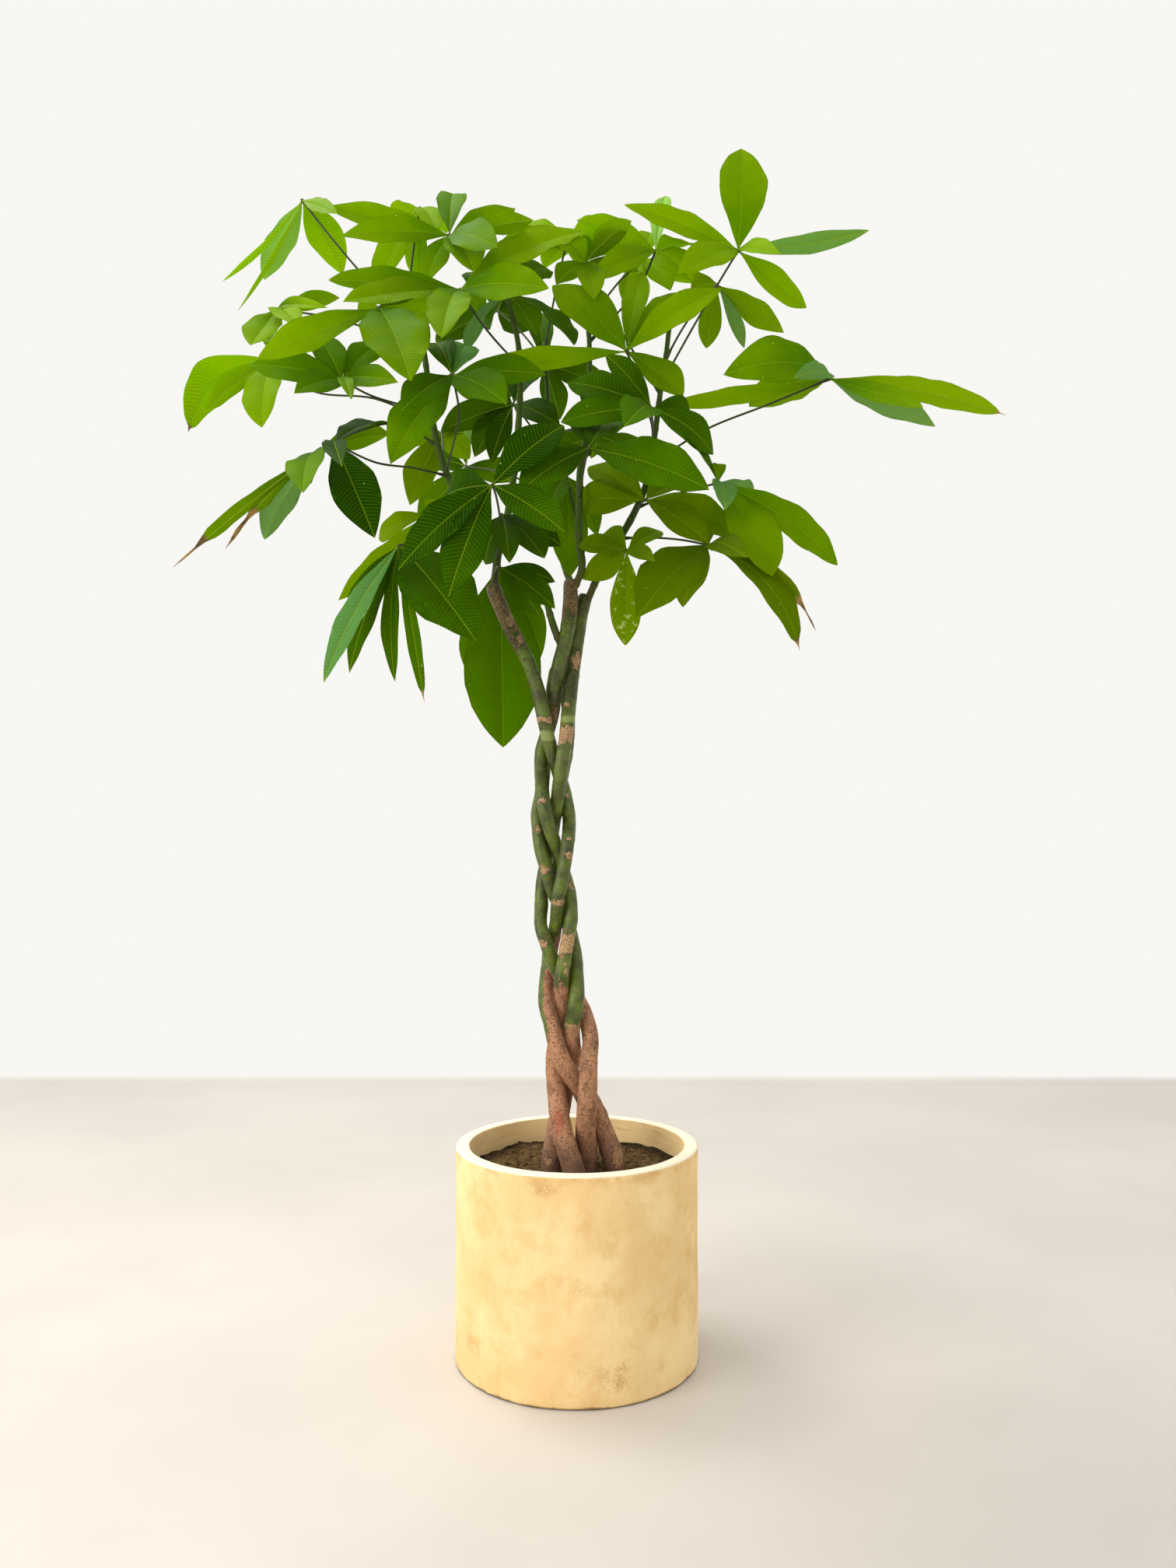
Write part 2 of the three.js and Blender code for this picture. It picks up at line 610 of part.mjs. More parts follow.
// The middle line of a trunk: its course, with a root that goes straight down in the soil
function trunkLine(course) {
  const points = course.map((point) => seen(...point));
  const foot = points.at(-1);
  points.push(new THREE.Vector3(foot.x, foot.y, SOIL_TOP - ROOT_DEPTH));
  return new THREE.CatmullRomCurve3(points, false, 'centripetal').getSpacedPoints(PLAIT_SAMPLES);
}

// Pushes two trunks apart where they are closer than their radii and a gap, mostly in depth.
function partTrunks(one, other) {
  for (const a of one) {
    for (const b of other) {
      const room = trunkRadius(a.z) + trunkRadius(b.z) + PLAIT_GAP;
      const near = a.distanceTo(b);
      if (near < room) {
        const away = new THREE.Vector3(SIDE_PUSH * (a.x - b.x), a.y - b.y || 1, 0).normalize();
        a.addScaledVector(away, (room - near) / 4);
        b.addScaledVector(away, (near - room) / 4);
      }
    }
  }
}

// Evens a trunk out between its neighbouring points and draws it back to its course.
function evenOut(line, course) {
  const old = line.map((point) => point.clone());
  for (let i = 1; i < line.length - 1; i += 1) {
    const between = old[i - 1].clone().lerp(old[i + 1], 0.5);
    line[i].y = THREE.MathUtils.lerp(old[i].y, between.y, 0.4);
    line[i].x = THREE.MathUtils.lerp(old[i].x, between.x, 0.2);
    line[i].x = THREE.MathUtils.lerp(line[i].x, course[i].x, COURSE_PULL);
  }
}

function plaitTrunks() {
  const courses = Object.values(TRUNKS).map(trunkLine);
  const lines = courses.map((course) => course.map((point) => point.clone()));
  for (let round = 0; round < PLAIT_ROUNDS; round += 1) {
    lines.forEach((line, i) => evenOut(line, courses[i]));
    lines.forEach((one, i) => lines.slice(i + 1).forEach((other) => partTrunks(one, other)));
  }
  return lines.map((line) => new THREE.CatmullRomCurve3(line, false, 'centripetal'));
}

function trunkSolid(curve, extra) {
  const radiusAt = (share) => trunkRadius(curve.getPointAt(share).z) + extra;
  return bar(curve, radiusAt, TRUNK_SIDES, TRUNK_STEPS);
}

// Shoots

function shootRadius(share) {
  return THREE.MathUtils.lerp(SHOOT_RADIUS_LOW, SHOOT_RADIUS_TOP, share);
}

function shootSolid(curve, extra) {
  return bar(curve, (share) => shootRadius(share) + extra, SHOOT_SIDES, SHOOT_STEPS);
}

// Leaflets

// Stations along a leaflet, and its half width there as a share of the widest
const BLADE_STATIONS = [0, 0.22, 0.5, 0.8, 1];
const BLADE_WIDTHS = [0, 0.55, 1, 0.74, 0];
const BLADE_END = BLADE_STATIONS.length - 1;

// A point of the leaflet. The midrib arches over the line from hub to tip, the sides rise
// from it in a shallow fold and their rims wave. A twist turns them about that line.
function bladePoint(leaf, station, side, margin) {
  const along = BLADE_STATIONS[station];
  const half = BLADE_WIDTHS[station] * leaf.halfWidth + margin;
  const lean = leaf.twist * along + leaf.fold * side;
  const arch = leaf.arch * leaf.length * 4 * along * (1 - along);
  const place = leaf.hub.clone().addScaledVector(leaf.along, along * leaf.length);
  place.addScaledVector(leaf.across, side * half * Math.cos(lean));
  const wave = leaf.waves[station] * BLADE_WIDTHS[station];
  return place.addScaledVector(leaf.up, arch + side * (half * Math.sin(lean) + wave));
}

// One face of a leaflet, three points across. Its rims and ends lie on the leaflet's middle
// surface, and its midrib is lifted by the given rise.
function bladeFace(leaf, first, rise, margin) {
  const steps = BLADE_END - first;
  const face = new THREE.PlaneGeometry(2, 1, 2, steps);
  const places = face.attributes.position;
  for (let i = 0; i < places.count; i += 1) {
    const station = first + Math.round((0.5 - places.getY(i)) * steps);
    const side = Math.round(places.getX(i));
    const place = bladePoint(leaf, station, side, margin);
    const inside = side === 0 && station > first && station < BLADE_END;
    if (inside) place.addScaledVector(leaf.up, rise);
    places.setXYZ(i, place.x, place.y, place.z);
  }
  return face;
}

// Both faces are split into like triangles, so they never cross where the rim waves.
function bladeSolid(leaf, first, thickness, margin) {
  const upper = bladeFace(leaf, first, thickness / 2, margin);
  const lower = bladeFace(leaf, first, -thickness / 2, margin);
  lower.index.array.reverse();
  return toSolid(mergeGeometries([upper, lower]));
}

// Turns a leaflet's upward direction about its length until its width is seen well enough.
// Returns it with the share of the width that is seen then.
function turnToView(up, along, middle) {
  const flat = middle.clone().sub(VIEW_EYE).cross(along).normalize();
  const straight = new THREE.Vector3().crossVectors(along, flat).normalize();
  if (straight.dot(up) < 0) straight.negate();
  const angle = straight.angleTo(up);
  const limit = Math.acos(WIDTH_SEEN);
  if (angle <= limit) return { turned: up, share: Math.cos(angle) };
  const turned = straight.clone().multiplyScalar(Math.sin(angle - limit) / Math.sin(angle));
  turned.addScaledVector(up, Math.sin(limit) / Math.sin(angle));
  return { turned, share: WIDTH_SEEN };
}

// Works out a leaflet from its tip as seen, moved in depth by shift and turned by roll.
function shapeLeaf(frond, hub, entry, draws, shift, roll) {
  const [across, down, away, width, special = {}] = entry;
  const reach = seen(across, down, hub.y).distanceTo(hub);
  const lean = Math.sqrt(Math.max(frond.length ** 2 - reach ** 2, (0.25 * frond.length) ** 2));
  const tip = seen(across, down, hub.y + away * lean + shift);
  const along = tip.clone().sub(hub).normalize();
  const faces = new THREE.Vector3(...frond.faces).normalize();
  const plain = faces.clone().addScaledVector(along, -faces.dot(along));
  if (plain.length() < 0.3) plain.addScaledVector(new THREE.Vector3(0, -1, 0), 0.5);
  plain.addScaledVector(along, -plain.dot(along)).normalize();
  const { turned, share } = turnToView(plain, along, hub.clone().lerp(tip, 0.5));
  const up = turned.normalize().applyAxisAngle(along, roll);
  const length = tip.distanceTo(hub);
  return {
    hub,
    along,
    up,
    across: new THREE.Vector3().crossVectors(up, along),
    length,
    halfWidth: Math.min(width / share, WIDEST_SHARE * length) / 2,
    arch: special.arch ?? BLADE_ARCH,
    twist: special.twist ?? 0,
    fold: BLADE_FOLD,
    waves: draws,
  };
}

// Compound leaves

const SHIFTS = [0, 1, -1, 2, -2, 3, -3, 4, -4, 5, -5, 6, -6, 7, -7, 8, -8, 9, -9, 10, -10];
const LEAF_SHIFT = 14;
const HUB_SHIFT = 10;
const ROLLS = [0, 0.35, -0.35, 0.7, -0.7];

// Finds the point of a shoot that is seen at the given height.
function rootOn(curve, down) {
  const points = curve.getSpacedPoints(120);
  return points.reduce((best, point) => {
    const closer = Math.abs(downOf(point) - down) < Math.abs(downOf(best) - down);
    return closer ? point : best;
  });
}

// The middle line of a petiole. It ends a little past the hub, inside the leaflets' roots.
function petioleCurve(root, frond, hub, shift) {
  const passes = (frond.by ?? []).map(([across, down, depth]) => seen(across, down, depth + shift));
  if (passes.length === 0) {
    const middle = root.clone().lerp(hub, 0.5);
    middle.z += 0.06 * root.distanceTo(hub);
    passes.push(middle);
  }
  const end = hub.clone().sub(passes[0]).setLength(HUB_RADIUS).add(hub);
  return new THREE.CatmullRomCurve3([root, ...passes.toReversed(), hub, end], false, 'centripetal');
}

function petioleSolid(curve, extra) {
  const radiusAt = (share) => {
    const plain = THREE.MathUtils.lerp(PETIOLE_ROOT_RADIUS, PETIOLE_RADIUS, share);
    return (share === 1 ? HUB_RADIUS : plain) + extra;
  };
  return bar(curve, radiusAt, PETIOLE_SIDES, PETIOLE_STEPS);
}

// Finds a free place for a leaflet: first where it is seen, then leaning more or less away,
// which leaves it where it is seen, and turned about its own length.
function placeLeaf(frond, hub, entry, draws, name) {
  for (const step of SHIFTS) {
    for (const roll of ROLLS) {
      const leaf = shapeLeaf(frond, hub, entry, draws, step * LEAF_SHIFT, roll);
      const room = bladeSolid(leaf, 0, BLADE_THICKNESS + CLEARANCE, CLEARANCE / 2);
      const outer = bladeSolid(leaf, 2, BLADE_THICKNESS + CLEARANCE, CLEARANCE / 2);
      const free = isFree(room, name, `${name}_outer`) && isFree(outer, name);
      if (free) return { leaf, room, outer };
    }
  }
  return null;
}

function placeFrond(frond, name, shoots) {
  const [shoot, down] = frond.root;
  const root = rootOn(shoots[shoot], down);
  let best = null;
  for (const step of SHIFTS) {
    const [across, hubDown, depth] = frond.hub;
    const hub = seen(across, hubDown, depth + step * HUB_SHIFT);
    const petiole = petioleCurve(root, frond, hub, step * HUB_SHIFT);
    const stem = petioleSolid(petiole, CLEARANCE / 2);
    if (isFree(stem, shoot)) {
      const draw = seededDraw(across * 1000 + hubDown);
      const mark = taken.length;
      const leaves = [];
      for (const entry of frond.leaflets) {
        const draws = BLADE_STATIONS.map(() => draw() * BLADE_WAVE);
        const placed = placeLeaf(frond, hub, entry, draws, name);
        if (placed) {
          leaves.push(placed);
          takeRoom(placed.outer, `${name}_outer`);
        }
      }
      taken.length = mark;
      if (!best || leaves.length > best.leaves.length) best = { petiole, stem, leaves };
      if (leaves.length === frond.leaflets.length) break;
    }
  }
  return best;
}

// The pieces

const group = new THREE.Group();
group.name = 'potted_money_tree';

const ROUGHNESS = { pot: 0.55, soil: 0.95, trunk: 0.85, shoot: 0.6, frond: 0.5 };

function addPiece(name, solid) {
  const kind = name.split('_')[0];
  const material = new THREE.MeshStandardMaterial({
    color: COLOURS[kind],
    roughness: ROUGHNESS[kind],
    metalness: 0,
  });
  const mesh = new THREE.Mesh(toGeometry(solid), material);
  mesh.name = name;
  group.add(mesh);
}

// What a piece is cut with where it stands in or grows from another: that other, grown by
// the gap between them
const cutters = {};

const trunkCurves = plaitTrunks();
Object.keys(TRUNKS).forEach((name, i) => {
  const curve = trunkCurves[i];
  cutters[name] = trunkSolid(curve, GAP);
  takeRoom(trunkSolid(curve, CLEARANCE), name);
  addPiece(name, trunkSolid(curve, 0));
});

addPiece('pot', potSolid());
addPiece('soil', soilSolid(Object.values(cutters)));

const shootCurves = {};
for (const [name, { course }] of Object.entries(SHOOTS)) {
  const points = course.map((point) => seen(...point));
  const curve = new THREE.CatmullRomCurve3(points, false, 'centripetal');
  const cut = Object.values(cutters).reduce((left, cutter) => left.subtract(cutter), shootSolid(curve, 0));
  addPiece(name, largestBody(cut));
  shootCurves[name] = curve;
  cutters[name] = shootSolid(curve, GAP);
  takeRoom(shootSolid(curve, CLEARANCE), name);
}

FRONDS.forEach((frond, i) => {
  const name = `frond_${String(i + 1).padStart(2, '0')}`;
  const { petiole, stem, leaves } = placeFrond(frond, name, shootCurves);
  takeRoom(stem, name);
  leaves.forEach(({ room }) => takeRoom(room, name));
  const blades = leaves.map(({ leaf }) => bladeSolid(leaf, 0, BLADE_THICKNESS, 0));
  const whole = wasm.Manifold.union([petioleSolid(petiole, 0), ...blades]);
  addPiece(name, largestBody(whole.subtract(cutters[frond.root[0]])));
});

export default group;
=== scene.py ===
"""Dresses the solids of a potted money tree: its plaited trunks, leaves, planter and soil.

Everything is in metres, in the frame of the solids. The places of trunks, shoots and leaves
are read from the frame's own nodes, and a finer surface is worked out round each of them.
"""

import math

import bmesh
import bpy
import numpy as np
from mathutils import Matrix


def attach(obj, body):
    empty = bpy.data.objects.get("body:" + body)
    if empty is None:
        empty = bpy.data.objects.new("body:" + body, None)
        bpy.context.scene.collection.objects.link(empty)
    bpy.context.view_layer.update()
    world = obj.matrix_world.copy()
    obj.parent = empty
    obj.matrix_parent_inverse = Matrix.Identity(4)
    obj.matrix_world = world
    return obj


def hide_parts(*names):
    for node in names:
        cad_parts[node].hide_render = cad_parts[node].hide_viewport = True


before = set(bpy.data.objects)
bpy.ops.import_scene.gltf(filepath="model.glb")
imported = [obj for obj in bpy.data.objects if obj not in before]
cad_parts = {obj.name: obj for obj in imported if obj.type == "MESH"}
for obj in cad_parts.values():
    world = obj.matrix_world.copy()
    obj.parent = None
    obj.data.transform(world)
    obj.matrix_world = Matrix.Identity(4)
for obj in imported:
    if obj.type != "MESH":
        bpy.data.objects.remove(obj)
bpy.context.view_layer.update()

# Sizes of the planter and its soil
POT_RADIUS = 0.175
POT_HEIGHT = 0.304
POT_WALL = 0.019
POT_INSIDE = POT_RADIUS - POT_WALL
POT_FLOOR = 0.022
OUTER_EDGE = 0.0034
INNER_EDGE = 0.0018
FLOOR_EDGE = 0.006
POT_AROUND = 144
POT_ROWS = 34
DRAIN_RADIUS = 0.008
DRAIN_RING = 0.075
DRAIN_COUNT = 3
DRAIN_SIDES = 28
SOIL_TOP = 0.273
SOIL_DISH = 0.009
SOIL_GAP = 0.0012
SOIL_ROWS = 62
CRUMB_COUNT = 700
CRUMB_MARGIN = 0.006

# Sizes of the wood, between which shares of its length a stalk's foot ends and its hub
# begins, and how green stalks and shoots are
TRUNK_ROWS = 260
TRUNK_AROUND = 20
SHOOT_ROWS = 90
SHOOT_AROUND = 12
STALK_ROWS = 26
STALK_AROUND = 8
STALK_RADIUS = 0.0016
STALK_FOOT_RADIUS = 0.0032
STALK_HUB_RADIUS = 0.003
PAST_HUB = 0.003
STALK_FOOT, STALK_HUB = (0.03, 0.16), (0.94, 1)
STALK_GREEN, SHOOT_GREEN = 0.3, 0.9

# How the frame's solids are laid out, for reading them
TRUNK_RINGS_AT_LEAST = 30
TRUNK_SIDES = 7
SHOOT_SIDES = 6
BLADE_THICKNESS = 0.0018
MIDDLE_STATION, OUTER_STATION = 0.5, 0.8
OUTER_WIDTH = 0.74
STALK_SIDES = 5
STALK_RING_RADII = (0.0027667, 0.0025333)
# How closely what is read from them has to fit, in metres, but for rings as a share of the
# radius and for directions as one less their cosine
WELD = 1e-5
RING_SLACK = 0.02
THICKNESS_SLACK = 3e-6
DIRECTION_SLACK = 2e-6
LEVEL_SLACK = 3e-4
RIM_AT_LEAST = 1e-4
EDGE_SLACK = 1e-5
RADIUS_SLACK = 1.5e-5
NO_LENGTH = 1e-6
# How far the lines of shoots and stalks go on into the wood that they grow from
SHOOT_INTO, STALK_INTO = 0.006, 0.005

# The viewer's place and gaze, and the picture's size in its own dots. The horizon is so many
# dots below its middle, and a metre is about so many dots at the trunks.
EYE = np.array([0.016, -1.8, 0.769])
FOCAL = 1571
PICTURE_WIDTH, PICTURE_HEIGHT = 1512, 2016
HORIZON_BELOW_MIDDLE = 51
PITCH = math.atan(HORIZON_BELOW_MIDDLE / FOCAL)
TRUNK_DOTS = 870
SENSOR = 36


# Where things are seen


def seen_at(points):
    """Returns [across, down] in the picture of points: each point's offsets to the right and
    up from the eye, over its distance ahead, times the focal length."""
    ahead = np.array([0, math.cos(PITCH), math.sin(PITCH)])
    above = np.array([0, -math.sin(PITCH), math.cos(PITCH)])
    ray = points - EYE
    depth = ray @ ahead
    across = PICTURE_WIDTH / 2 + FOCAL * ray[..., 0] / depth
    down = PICTURE_HEIGHT / 2 - FOCAL * (ray @ above) / depth
    return np.stack([across, down], axis=-1)


# Reading the solids


def welded(node):
    """Returns the corners of a CAD node with its loose triangles joined, and a table of
    which share an edge. The node itself stays as it is."""
    shape = bmesh.new()
    shape.from_mesh(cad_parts[node].data)
    bmesh.ops.remove_doubles(shape, verts=shape.verts, dist=WELD)
    joined = bpy.data.meshes.new("joined")
    shape.to_mesh(joined)
    shape.free()
    corners = np.empty(len(joined.vertices) * 3)
    joined.vertices.foreach_get("co", corners)
    ends = np.empty(len(joined.edges) * 2, int)
    joined.edges.foreach_get("vertices", ends)
    bpy.data.meshes.remove(joined)
    corners, ends = corners.reshape(-1, 3), ends.reshape(-1, 2)
    linked = np.zeros((len(corners), len(corners)), bool)
    linked[ends[:, 0], ends[:, 1]] = linked[ends[:, 1], ends[:, 0]] = True
    return corners, linked


def size_of(vectors):
    return np.linalg.norm(vectors, axis=-1)


def unit(vectors):
    return vectors / size_of(vectors)[..., None]


def read_bar(node, sides, rows):
    """Returns a bar's line with evenly spaced rows, its radii and how far along they are,
    from a whole flat end to the other. A flat end has a middle corner whose neighbours lie
    equally far from it in one ring, and each ring's further neighbours are the next ring. A
    bar of few rings is a shoot with a cut foot: it ends amid those corners and further in."""
    corners, linked = welded(node)
    best = ([], [])
    for cap in np.where(linked.sum(axis=1) == sides)[0]:
        ring = np.where(linked[cap])[0]
        reach = size_of(corners[ring] - corners[cap])
        if np.ptp(reach) > RING_SLACK * reach.mean():
            continue
        met = np.zeros(len(corners), bool)
        met[cap] = True
        middles, radii = [], []
        while len(ring) == sides:
            met[ring] = True
            middles.append(corners[ring].mean(axis=0))
            radii.append(size_of(corners[ring] - middles[-1]).mean())
            ring = np.where(linked[ring].any(axis=0) & ~met)[0]
        rest = corners[~met]
        if len(rest) > 1 and len(middles) < TRUNK_RINGS_AT_LEAST:
            foot = rest.mean(axis=0)
            middles.append(foot)
            middles.append(foot + SHOOT_INTO * unit(foot - middles[-2]))
            radii += [radii[-1]] * 2
        if len(middles) > len(best[0]):
            best = (middles, radii)
    line = even_line(np.array(best[0]), rows)
    radii = np.interp(np.linspace(0, 1, rows), np.linspace(0, 1, len(best[1])), best[1])
    return line, radii, reach_along(line)


def leaflet_pairs(corners, linked):
    """Pairs the corners of a leaf that lie a blade's thickness apart and share neighbours,
    which are on the midribs of its leaflets' two faces, and groups them by direction."""
    apart = size_of(corners[:, None] - corners)
    shared = linked.astype(int) @ linked.astype(int)
    ones, others = np.where((abs(apart - BLADE_THICKNESS) < THICKNESS_SLACK) & (shared >= 2))
    groups = []
    for one, other in zip(ones, others):
        if one > other:
            continue
        up = unit(corners[one] - corners[other])
        alike = (pairs for way, pairs in groups if abs(way @ up) > 1 - DIRECTION_SLACK)
        pairs = next(alike, None)
        if pairs is None:
            pairs = []
            groups.append((up, pairs))
        pairs.append((one, other))
    return [(up, pairs) for up, pairs in groups if len(pairs) > 1]


def read_leaflet(corners, linked, up, pairs):
    """Works out one leaflet from its midrib pairs. With M the middle of the outer pair and T
    the tip, T - M holds a fifth of the length along the leaflet, and the midrib's arch
    across it, which give the hub. The right tip and pairs also give the middle station.
    Rims are the steps from those stations to the right and left. One that is cut away is the
    mirror image of its twin, and without both there is no leaflet."""
    middles = np.array([(corners[a] + corners[b]) / 2 for a, b in pairs])
    best = None
    for outer, (one, other) in enumerate(pairs):
        for tip in corners[linked[one] & linked[other]]:
            step = tip - middles[outer]
            along = step - (step @ up) * up
            length = size_of(along) / (1 - OUTER_STATION)
            along = unit(along)
            hub = tip - along * length
            rise = -(step @ up) / (4 * OUTER_STATION * (1 - OUTER_STATION))
            expected = hub + along * MIDDLE_STATION * length + up * rise
            misses = size_of(middles - expected)
            misses[outer] = np.inf
            if best is None or misses.min() < best["miss"]:
                best = {
                    "miss": misses.min(), "hub": hub, "along": along, "up": up, "tip": tip,
                    "length": length, "rise": rise, "stations": (misses.argmin(), outer),
                }
    across = np.cross(up, best["along"])
    rims = []
    for index in best["stations"]:
        one, other = pairs[index]
        near = corners[linked[one] & linked[other]] - middles[index]
        near = near[abs(near @ best["along"]) < LEVEL_SLACK]
        mirrored = near - 2 * (near @ across)[:, None] * across
        for side in (1, -1):
            own, twins = (there[there @ across * side > RIM_AT_LEAST] for there in (near, mirrored))
            there = own if len(own) else twins
            if not len(there):
                return None
            rims.append(there[np.argmax(there @ across * side)])
    best["rims"] = np.reshape(rims, (2, 2, 3))
    return best


def leaflet_table(node):
    """Returns a leaf's leaflets as arrays, and the corners of its solid. Up points to the
    side towards which a leaflet's halves fold, which is its upper face."""
    corners, linked = welded(node)
    found = [read_leaflet(corners, linked, *group) for group in leaflet_pairs(corners, linked)]
    leaflets = [leaflet for leaflet in found if leaflet]
    for leaflet in leaflets:
        leaflet["rims"][1] /= OUTER_WIDTH
        if leaflet["rims"].sum(axis=(0, 1)) @ leaflet["up"] < 0:
            leaflet.update(up=-leaflet["up"], rise=-leaflet["rise"], rims=leaflet["rims"][:, ::-1])
    table = {name: np.array([leaflet[name] for leaflet in leaflets]) for name in leaflets[0]}
    return table, corners, linked


def stalk_rings(corners, linked):
    """Returns the middles and corner numbers of a stalk's whole rings, from the shoot up. A
    ring is a regular pentagon of a known radius r, so its middle lies r away from a corner,
    towards the sum of the steps to the two neighbours, and r away from all its corners."""
    ones, others = np.where(linked)
    edges = size_of(corners[ones] - corners[others])
    rings = []
    for radius in STALK_RING_RADII:
        fits = abs(edges - 2 * radius * math.sin(math.pi / STALK_SIDES)) < EDGE_SLACK
        best = None
        for corner in np.unique(ones[fits]):
            ends = others[fits & (ones == corner)]
            for one, other in zip(ends, np.roll(ends, 1)):
                inward = corners[one] + corners[other] - 2 * corners[corner]
                if one == other or size_of(inward) < NO_LENGTH:
                    continue
                middle = corners[corner] + radius * unit(inward)
                reach = size_of(corners - middle)
                ring = np.where(abs(reach - radius) < RADIUS_SLACK)[0]
                if best is None or len(ring) > len(best[1]):
                    best = (middle, ring)
        if best is not None and len(best[1]) >= STALK_SIDES - 1:
            rings.append(best)
    return rings


def stalk_line(leaflets, corners, linked):
    """Returns the points of a leaf's stalk, from inside the shoot to the hub. What is joined
    to the lower ring and is no ring is the foot, where the shoot cuts the stalk."""
    rings = stalk_rings(corners, linked)
    hub = leaflets["hub"].mean(axis=0)
    points = [middle for middle, _ in rings]
    beside = linked[rings[0][1]].any(axis=0)
    beside[np.concatenate([ring for _, ring in rings])] = False
    foot = corners[beside].mean(axis=0)
    inner = foot + STALK_INTO * unit(foot - points[0])
    return np.array([inner, foot, *points, hub])


# Surfaces


# How many waves a ripple has, how many of each lie in its size, and how high their sum gets
WAVES, WAVE_RATES, WAVES_HIGH = 9, (0.6, 1.5), 3.4


def ripple(points, size, seed):
    """Smooth bumps between about -1 and 1: a sum of sine waves over places in space, each
    with a random direction and start and a wavelength near the given size."""
    draw = np.random.default_rng(seed)
    ways = unit(draw.normal(size=(WAVES, 3))) * draw.uniform(*WAVE_RATES, (WAVES, 1))
    starts = draw.uniform(0, 2 * np.pi, WAVES)
    return np.sin(points @ ways.T * (2 * np.pi / size) + starts).sum(axis=-1) / WAVES_HIGH


def uneven(points, layers, base=0, number=0):
    """A base plus layers of ripples, each a height, a size and a seed, to which a piece's
    number is added."""
    return sum((high * ripple(points, size, seed + number) for high, size, seed in layers), base)


def smoothly(low, high, values):
    """Goes from 0 to 1 between low and high, as 3t² - 2t³ of the share t of the way."""
    t = np.clip((values - low) / (high - low), 0, 1)
    return t * t * (3 - 2 * t)


def smooth_line(points, rows):
    """Points on a smooth curve through the given ones: on each stretch the cubic whose ends
    run parallel to the neighbouring points' joining lines."""
    padded = np.vstack([2 * points[0] - points[1], points, 2 * points[-1] - points[-2]])
    place = np.linspace(0, len(points) - 1, rows)
    first = np.minimum(place.astype(int), len(points) - 2)
    t = (place - first)[:, None]
    a, b, c, d = (padded[first + k] for k in range(4))
    return 0.5 * (
        2 * b + (c - a) * t + (2 * a - 5 * b + 4 * c - d) * t**2
        + (3 * b - a - 3 * c + d) * t**3
    )


def reach_along(line):
    """How far along a line each of its points lies."""
    return np.append(0, np.cumsum(size_of(np.diff(line, axis=0))))


def even_line(points, rows):
    """A smooth line through the points, with its rows evenly far apart along it."""
    fine = smooth_line(points, 12 * len(points))
    reach = reach_along(fine)
    wanted = np.linspace(0, reach[-1], rows)
    return np.stack([np.interp(wanted, reach, fine[:, k]) for k in range(3)], axis=1)


def circle(around):
    """Cosines and sines of evenly spaced angles all the way round."""
    angles = np.arange(around) * 2 * np.pi / around
    return np.cos(angles), np.sin(angles)


def tube(line, radii, around):
    """Corners of a closed tube along a line: on each row a ring of radius r at angle a, which
    is line + r cos(a) n + r sin(a) b, with n and b square to the line's direction. The two
    end poles are the line's ends. Radii are per row, or per row and angle."""
    ahead = unit(np.gradient(line, axis=0))
    mostly = abs(ahead.mean(axis=0)).argmin()
    side = unit(np.eye(3)[mostly] - ahead * ahead[:, mostly : mostly + 1])
    other = np.cross(ahead, side)
    cos, sin = circle(around)
    ring = cos[:, None] * side[:, None] + sin[:, None] * other[:, None]
    rows = line[:, None] + ring * np.reshape(radii, (len(line), -1, 1))
    return np.vstack([line[:1], rows.reshape(-1, 3), line[-1:]])


def tube_faces(rows, around, first=0):
    """Faces of a closed tube of rows times around corners between two poles. Quads join each
    corner and the next of its row with those of the next row, and triangles the poles."""
    ring = first + 1 + np.arange(rows * around).reshape(rows, around)
    right = np.roll(ring, -1, axis=1)
    quads = np.stack([ring[:-1], right[:-1], right[1:], ring[1:]], axis=-1)
    start = np.full(around, first)
    end = np.full(around, first + 1 + rows * around)
    opening = np.stack([start, right[0], ring[0]], axis=-1)
    closing = np.stack([end, ring[-1], right[-1]], axis=-1)
    return quads.reshape(-1, 4).tolist() + opening.tolist() + closing.tolist()


def added(name, data):
    """A new object of some data, in the scene."""
    holder = bpy.data.objects.new(name, data)
    bpy.context.scene.collection.objects.link(holder)
    return holder


def make_piece(name, corners, faces, finishes, choice=None, values=None, crease=62):
    """Makes a mesh object. Choice gives each face's number in the list of finishes, values
    are named vectors that each corner carries, and edges that bend by more degrees than the
    crease stay sharp."""
    mesh = bpy.data.meshes.new(name)
    mesh.from_pydata(corners, [], faces)
    for finish in finishes:
        mesh.materials.append(finish)
    if choice is not None:
        mesh.polygons.foreach_set("material_index", np.asarray(choice, np.int32))
    for label, numbers in (values or {}).items():
        carrier = mesh.attributes.new(label, "FLOAT_VECTOR", "POINT")
        carrier.data.foreach_set("vector", np.asarray(numbers, np.float32).ravel())
    mesh.shade_smooth()
    mesh.set_sharp_from_angle(angle=math.radians(crease))
    return added(name, mesh)


def place_piece(piece, slot, *nodes):
    """Lets a piece ride on the plant and stand for its nodes, which it hides. The slot is not used.
    """
    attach(piece, "root")
    if nodes:
        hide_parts(*nodes)


# Finishes


def colour(red, green, blue):
    """A colour given as 0 to 255 on a screen, as the linear values that a shader takes."""
    shares = np.array([red, green, blue]) / 255
    linear = np.where(shares > 0.04045, ((shares + 0.055) / 1.055) ** 2.4, shares / 12.92)
    return (*linear.tolist(), 1.0)


